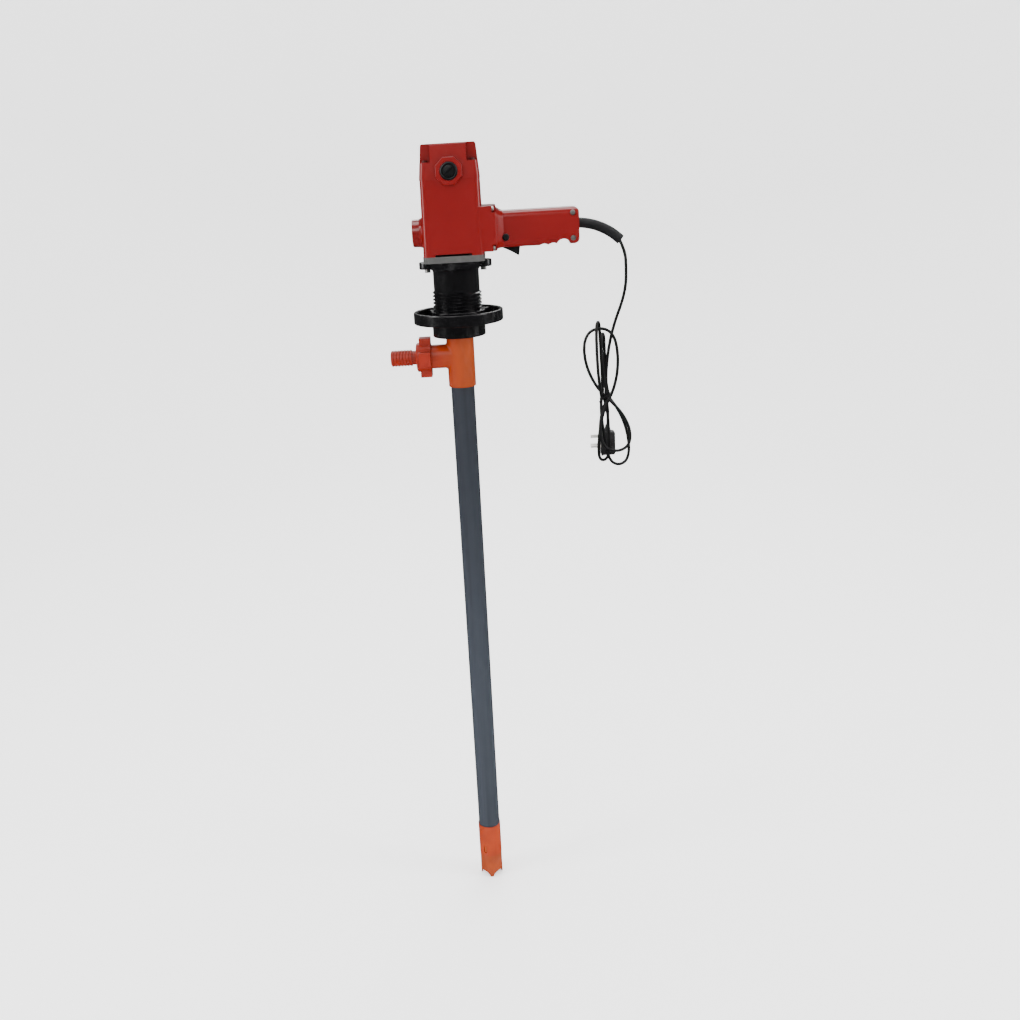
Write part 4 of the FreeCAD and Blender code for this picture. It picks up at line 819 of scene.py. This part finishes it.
@dataclass
class AdapterHead:
    """Threaded adapter, coupling and handwheel nut."""

    barrel_radius: float = 40.0
    bore: float = 30.0
    flange_height: float = 12.0
    middle_radius: float = 46.0
    ear_radius: float = 14.5
    ear_x: float = 48.5
    crest: float = 43.0
    pitch: float = 6.0
    turns: float = 8.8

    def flange(self) -> Form:
        """Oval flange with two ears, its lower face at the origin."""
        high = self.flange_height
        form = Form().turned([(self.bore, 0.2), (self.bore, high), (self.middle_radius, high),
                              (self.middle_radius, 1.4), (self.middle_radius - 0.4, 0.4),
                              (self.middle_radius - 1.4, 0.0), (self.bore + 0.2, 0.0)], 96, True)
        ear = drum(self.ear_radius, high, 1.2, 48)
        for side in (-1.0, 1.0):
            form.add(ear, Matrix.Translation((side * self.ear_x, 0.0, 0.0)))
        ear.bm.free()
        reach = self.ear_x - self.bore - 1.0
        bridge = Form().cube((reach, 2 * self.ear_radius - 0.6, high - 0.4))
        bridge.bevel(1.0, 3)
        for side in (-1.0, 1.0):
            form.add(bridge, Matrix.Translation((side * (self.ear_x - reach / 2), 0.0, high / 2)))
        bridge.bm.free()
        return form

    def barrel(self) -> None:
        """Barrel with a real screw thread."""
        room = Room.of("adapter_barrel")
        low = room.low.z
        top = room.high.z - self.flange_height
        radius = self.barrel_radius
        form = Form().turned([
            (self.bore, low), (radius - 1.0, low), (radius, low + 1.0), (radius, top - 6.0),
            (radius + 0.4, top - 4.2), (radius + 1.2, top - 2.4), (radius + 2.4, top - 1.2),
            (radius + 4.0, top - 0.4), (radius + 4.0, top + 0.4), (self.bore, top + 0.4)], 128, True)
        ridge = [(radius - 0.6, 0.0), (self.crest - 0.5, 1.5), (self.crest, 2.0),
                 (self.crest, 2.9), (self.crest - 0.5, 3.4), (radius - 0.6, 4.9)]
        thread = helix(ridge, self.turns, self.pitch)
        form.add(thread, Matrix.Translation((0.0, 0.0, low + 1.0)))
        thread.bm.free()
        flange = self.flange()
        form.add(flange, Matrix.Translation((0.0, 0.0, top)))
        flange.bm.free()
        form.set_down("screw_barrel", Look.BLACK_GLOSS, "pump", "black_plastic",
                      ["adapter_barrel"])

    def build(self) -> None:
        """Dresses the nodes and builds the new pieces."""
        self.dress()
        self.barrel()

    def dress(self) -> None:
        """Finishes of the head's nodes."""
        dress_nodes({
            Look.BLACK_GLOSS: ["handwheel_nut"],
            Look.ZINC: ["adapter_bolts"],
            Look.GROUND_STEEL: ["coupling_upper", "coupling_lower", "pump_bearing"],
            Look.SEAL_RUBBER: ["coupling_spider", "shaft_seal", "branch_gasket"],
            Look.BLACK_MATT: ["seal_carrier"],
            Look.NATURAL_NYLON: ["slip_washer"],
        })


@dataclass
class PumpTube:
    """Tee, hose connection, long tube and foot."""

    def dress(self) -> None:
        """Finishes of the tube's nodes."""
        dress_nodes({
            Look.TEE_ORANGE: ["pump_tee"],
            Look.UNION_ORANGE: ["union_nut", "hose_tail"],
            Look.TUBE_GREY: ["outer_tube", "inner_tube"],
            Look.FOOT_ORANGE: ["foot_housing"],
            Look.STRAINER_ORANGE: ["foot_strainer"],
            Look.GROUND_STEEL: ["drive_shaft", "impeller_nut"],
            Look.NATURAL_NYLON: ["shaft_bushes", "foot_guide", "impeller"],
        })


@dataclass(frozen=True)
class Lobe:
    """One loop of the hank, above or below its tie, in metres."""

    far_x: float
    far_y: float
    far_z: float
    half_x: float
    half_y: float
    blunt: float
    count: int = 15

    def points(self, start: Vector, end: Vector) -> list[Vector]:
        """Drop shape from the tie, round the far end and back.

        Args:
            start: Where the strand leaves the tie.
            end: Where it comes back to the tie.

        Returns:
            The points between start and end.
        """
        first = 0.42
        widest = math.tanh(self.blunt * 0.77)
        made = []
        for index in range(self.count):
            turn = first + (math.tau - 2 * first) * index / (self.count - 1)
            along = (1 - math.cos(turn)) / 2
            side = math.tanh(self.blunt * math.sin(turn) * math.sin(turn / 2)) / widest
            lean = 1 - (1 - along) ** 2
            root = start if turn < math.pi else end
            made.append(Vector((root.x + (self.far_x - root.x) * lean + self.half_x * side,
                                root.y + (self.far_y - root.y) * lean + self.half_y * side,
                                root.z + (self.far_z - root.z) * along)))
        return made


@dataclass
class MainsCord:
    """Mains cord that droops from the handle into a tied hank, with its plug."""

    diameter: float = 0.0055
    length: float = 1.94
    tie: Vector = field(default_factory=lambda: Vector((0.256, 0.0, -0.033)))
    lead: Sequence[Spot] = (
        (0.2818, 0.0, 0.2423), (0.2934, 0.0, 0.2190), (0.2946, 0.0, 0.1900), (0.2940, 0.0, 0.1610),
        (0.2870, 0.0015, 0.1315), (0.2765, 0.0045, 0.1040), (0.2685, 0.0080, 0.0760),
        (0.2630, 0.0120, 0.0480), (0.2590, 0.0135, 0.0150), (0.2575, 0.0100, -0.0130))
    places: Sequence[tuple[float, float]] = (
        (0.0056, 0.0028), (-0.0028, -0.0028), (0.0084, -0.0028), (-0.0056, 0.0028),
        (-0.0084, -0.0028), (0.0028, -0.0028), (0.0, 0.0028))
    lobes: Sequence[Lobe] = (
        Lobe(0.2720, -0.0140, -0.1335, -0.0275, 0.0, 0.9),
        Lobe(0.2468, 0.0020, 0.0885, -0.0290, 0.0, 1.0),
        Lobe(0.2500, -0.0010, -0.1535, -0.0105, -0.006, 2.2),
        Lobe(0.2440, 0.0010, 0.1000, 0.0046, 0.0150, 2.0),
        Lobe(0.2765, -0.0075, -0.1610, -0.0205, 0.0, 1.3),
        Lobe(0.2520, 0.0030, 0.0785, -0.0042, -0.0135, 2.0))
    pin_reach: float = 18.0
    tail: Sequence[Spot] = ((0.2592, 0.0030, -0.0550), (0.2598, 0.0100, -0.0760),
                            (0.2595, 0.0145, -0.0960), (0.2592, 0.0145, -0.1080))

    def route(self) -> list[Vector]:
        """Points of the whole cord, from the sleeve's mouth to the plug."""
        spots = [self.tie + Vector((x, y, 0.0)) for x, y in self.places]
        points = [Vector(spot) for spot in self.lead]
        for lobe, start, end in zip(self.lobes, spots, spots[1:]):
            points.append(start)
            points += lobe.points(start, end)
        points.append(spots[-1])
        return points + [Vector(spot) for spot in self.tail]

    def flex(self) -> bpy.types.Object:
        """The cord as one smooth spline.

        Returns:
            The curve object.
        """
        curve = bpy.data.curves.new("mains_cord", "CURVE")
        curve.dimensions = "3D"
        curve.bevel_depth = self.diameter / 2
        curve.bevel_resolution = 4
        curve.resolution_u = 8
        curve.use_fill_caps = True
        route = self.route()
        spline = curve.splines.new("NURBS")
        spline.points.add(len(route) - 1)
        for point, spot in zip(spline.points, route):
            point.co = (*spot, 1.0)
        spline.order_u = 3
        spline.use_endpoint_u = True
        piece = bpy.data.objects.new("mains_cord", curve)
        bpy.context.scene.collection.objects.link(piece)
        return settle(piece, Look.CORD_SHEATH, "pump", ["cord_lead", "cord_hank"])

    def wire_tie(self) -> bpy.types.Object:
        """Thin wire wound twice round the hank, its ends twisted together."""
        radius, thin = 11.9, 0.7
        round_wire = [(radius + thin * math.cos(math.radians(60 * i)),
                       thin * math.sin(math.radians(60 * i))) for i in range(6)]
        wrap = Form().turned(round_wire, 64, True)
        squeeze = Matrix.Diagonal((1.0, 0.62, 1.0, 1.0))
        middle = Matrix.Translation(self.tie / MM)
        form = Form()
        for lean, rise in ((-21.0, -0.5), (-26.0, 0.8)):
            form.add(wrap, middle @ Matrix.Translation((0.0, 0.0, rise))
                     @ Matrix.Rotation(math.radians(lean), 4, "Y") @ squeeze)
        wrap.bm.free()
        strand = helix([(0.25, -0.45), (1.25, -0.45), (1.25, 0.45), (0.25, 0.45)], 4.0, 3.2, 20)
        knot = Vector((self.tie.x / MM - 4.0, -8.2, self.tie.z / MM - 1.5))
        lay = turned_to(Vector((-0.75, -0.35, -0.55)), knot)
        for turn in (0.0, 180.0):
            form.add(strand, lay @ Matrix.Rotation(math.radians(turn), 4, "Z"))
        strand.bm.free()
        return form.set_down("twisted_tie", Look.CORD_SHEATH, "pump", "rubber", ["cord_tie"])

    def moulded_plug(self) -> bpy.types.Object:
        """Rewirable-looking plug: ribbed body, boot and three flat pins."""
        room = Room.of("plug")
        low, high = room.low, room.high
        face_x = low.x + self.pin_reach
        long, deep, tall = high.x - face_x, high.y - low.y, high.z - low.z
        centre = Vector((face_x + long / 2, (low.y + high.y) / 2, low.z + tall / 2))
        form = Form().cube((long, deep, tall), tuple(centre))
        form.bevel(4.6, 5, degrees=60.0)
        rib = Form().cube((long * 0.5, deep + 1.0, 1.5))
        rib.bevel(0.5, 2)
        for step in range(7):
            form.add(rib, Matrix.Translation((centre.x + 3.0, centre.y, low.z + 7.0 + 4.2 * step)))
        rib.bm.free()
        plate = Form().cube((3.4, deep + 1.0, tall + 0.8))
        plate.bevel(1.2, 3)
        form.add(plate, Matrix.Translation((face_x + 2.2, centre.y, centre.z)))
        plate.bm.free()
        boot = Form().turned([(0.0, 0.0), (6.6, 0.0), (6.4, 3.0), (5.4, 6.0), (4.9, 9.0), (4.2, 12.5),
                              (3.6, 15.0), (2.9, 15.6), (0.0, 15.6)], 36)
        form.add(boot, Matrix.Translation((self.tail[-1][0] / MM, centre.y, high.z - 3.0)))
        boot.bm.free()
        body_faces = len(form.bm.faces)
        pin = Form().cube((self.pin_reach + 3.0, 1.5, 6.3))
        pin.bevel(0.45, 2)
        for up, across, tilt in ((35.0, 10.5, 0.0), (17.0, 5.5, 30.0), (17.0, 15.5, -30.0)):
            form.add(pin, Matrix.Translation((face_x - self.pin_reach / 2 + 1.5, low.y + across, low.z + up))
                     @ Matrix.Rotation(math.radians(tilt), 4, "X"))
        pin.bm.free()
        plug = form.set_down("moulded_plug", Look.PLUG_PLASTIC, "pump", "plug_plastic", ["plug"])
        plug.data.materials.append(material(Look.PIN_METAL))
        for face in plug.data.polygons[body_faces:]:
            face.material_index = 1
        return plug

    def build(self) -> None:
        """Builds the cord and what is on it."""
        self.wire_tie()
        self.moulded_plug()
        flex = self.flex()


# --- studio ---------------------------------------------------------------------
@dataclass(frozen=True)
class SoftBox:
    """One square studio light aimed at a point, in metres."""

    name: str
    place: Spot
    width: float
    height: float
    power: float
    target: Spot = (0.03, 0.0, 0.05)

    def build(self) -> None:
        """Hangs the light."""
        light = bpy.data.lights.new(self.name, "AREA")
        light.shape = "RECTANGLE"
        light.size = self.width
        light.size_y = self.height
        light.energy = self.power
        lamp = bpy.data.objects.new(self.name, light)
        lamp.location = self.place
        aim = Vector(self.target) - lamp.location
        lamp.rotation_euler = aim.to_track_quat("-Z", "Y").to_euler()
        lamp.visible_camera = False
        bpy.context.scene.collection.objects.link(lamp)


@dataclass
class Studio:
    """Pale sweep, soft boxes, sky and camera."""

    sweep_radius: float = 5.5
    sweep_curve: float = 2.5
    sweep_top: float = 7.0
    sky: Colour = (0.9, 0.9, 0.9)
    sky_strength: float = 0.10
    floor_gap: float = 0.0004
    paper_glow: float = 0.55
    boxes: Sequence[SoftBox] = (
        SoftBox("left_box", (-2.4, -0.9, 1.2), 0.9, 2.4, 58.0),
        SoftBox("right_box", (2.4, -0.6, 1.2), 0.8, 2.4, 50.0),
        SoftBox("front_box", (-1.0, -3.4, 2.6), 2.2, 1.4, 60.0),
        SoftBox("top_box", (0.0, 0.2, 3.0), 2.4, 1.6, 80.0),
        SoftBox("back_box", (0.4, 3.2, 2.4), 3.0, 1.8, 110.0))
    sensor: float = 36.0
    lens: float = 37.06
    shift: float = 0.0392
    eye: Spot = (0.06490, -1.85991, 0.37644)
    right: Spot = (0.99820, 0.01608, -0.05779)
    up: Spot = (0.04982, 0.31419, 0.94805)
    back: Spot = (0.03341, -0.94922, 0.31282)

    def sweep(self) -> None:
        """Round floor that curves up into a wall on every side."""
        floor = CAD_LOW.z - self.floor_gap
        bend = [(self.sweep_radius - self.sweep_curve * (1 - math.sin(angle)),
                 floor + self.sweep_curve * (1 - math.cos(angle)))
                for angle in (math.radians(6 * i) for i in range(16))]
        outline = [(0.0, floor)] + bend + [(self.sweep_radius, self.sweep_top)]
        bm = bmesh.new()
        verts = [bm.verts.new((radius, 0.0, height)) for radius, height in outline]
        edges = [bm.edges.new(pair) for pair in zip(verts, verts[1:])]
        bmesh.ops.spin(bm, geom=verts + edges, cent=(0, 0, 0), axis=(0, 0, 1), angle=math.tau,
                       steps=96, use_merge=True)
        bmesh.ops.remove_doubles(bm, verts=bm.verts[:], dist=0.0001)
        mesh = bpy.data.meshes.new("studio_sweep")
        bm.to_mesh(mesh)
        bm.free()
        mesh.polygons.foreach_set("use_smooth", [True] * len(mesh.polygons))
        paper = bpy.data.materials.new("sweep_paper")
        paper.use_nodes = True
        skin = paper.node_tree.nodes["Principled BSDF"]
        skin.inputs["Base Color"].default_value = (0.96, 0.96, 0.96, 1.0)
        skin.inputs["Roughness"].default_value = 0.95
        skin.inputs["Emission Color"].default_value = (1.0, 1.0, 1.0, 1.0)
        skin.inputs["Emission Strength"].default_value = self.paper_glow
        mesh.materials.append(paper)
        sweep = bpy.data.objects.new("studio_sweep", mesh)
        sweep.visible_glossy = False
        bpy.context.scene.collection.objects.link(sweep)

    def sky_light(self) -> None:
        """Even pale light from all round."""
        world = bpy.data.worlds.new("studio_sky")
        world.use_nodes = True
        background = world.node_tree.nodes["Background"]
        background.inputs["Color"].default_value = (*self.sky, 1.0)
        background.inputs["Strength"].default_value = self.sky_strength
        bpy.context.scene.world = world

    def camera(self) -> None:
        """Camera a little above the handle, looking down along the tube."""
        data = bpy.data.cameras.new("studio_camera")
        data.sensor_width = self.sensor
        data.lens = self.lens
        data.shift_x = self.shift
        data.clip_start = 0.05
        data.clip_end = 50.0
        camera = bpy.data.objects.new("studio_camera", data)
        columns = Matrix((self.right, self.up, self.back)).transposed().to_4x4()
        camera.matrix_world = Matrix.Translation(self.eye) @ columns
        bpy.context.scene.collection.objects.link(camera)
        bpy.context.scene.camera = camera

    def build(self) -> None:
        """Sets the studio up."""
        self.sweep()
        self.sky_light()
        for box in self.boxes:
            box.build()
        self.camera()


def main() -> None:
    """Builds the studio and each sub-assembly in order."""
    logging.basicConfig(level=logging.INFO, format="%(name)s: %(message)s")
    Studio().build()
    MainsCord().build()
    MotorUnit().build()
    Handle().build()
    AdapterHead().build()
    PumpTube().dress()


if __name__ == "__main__":
    main()
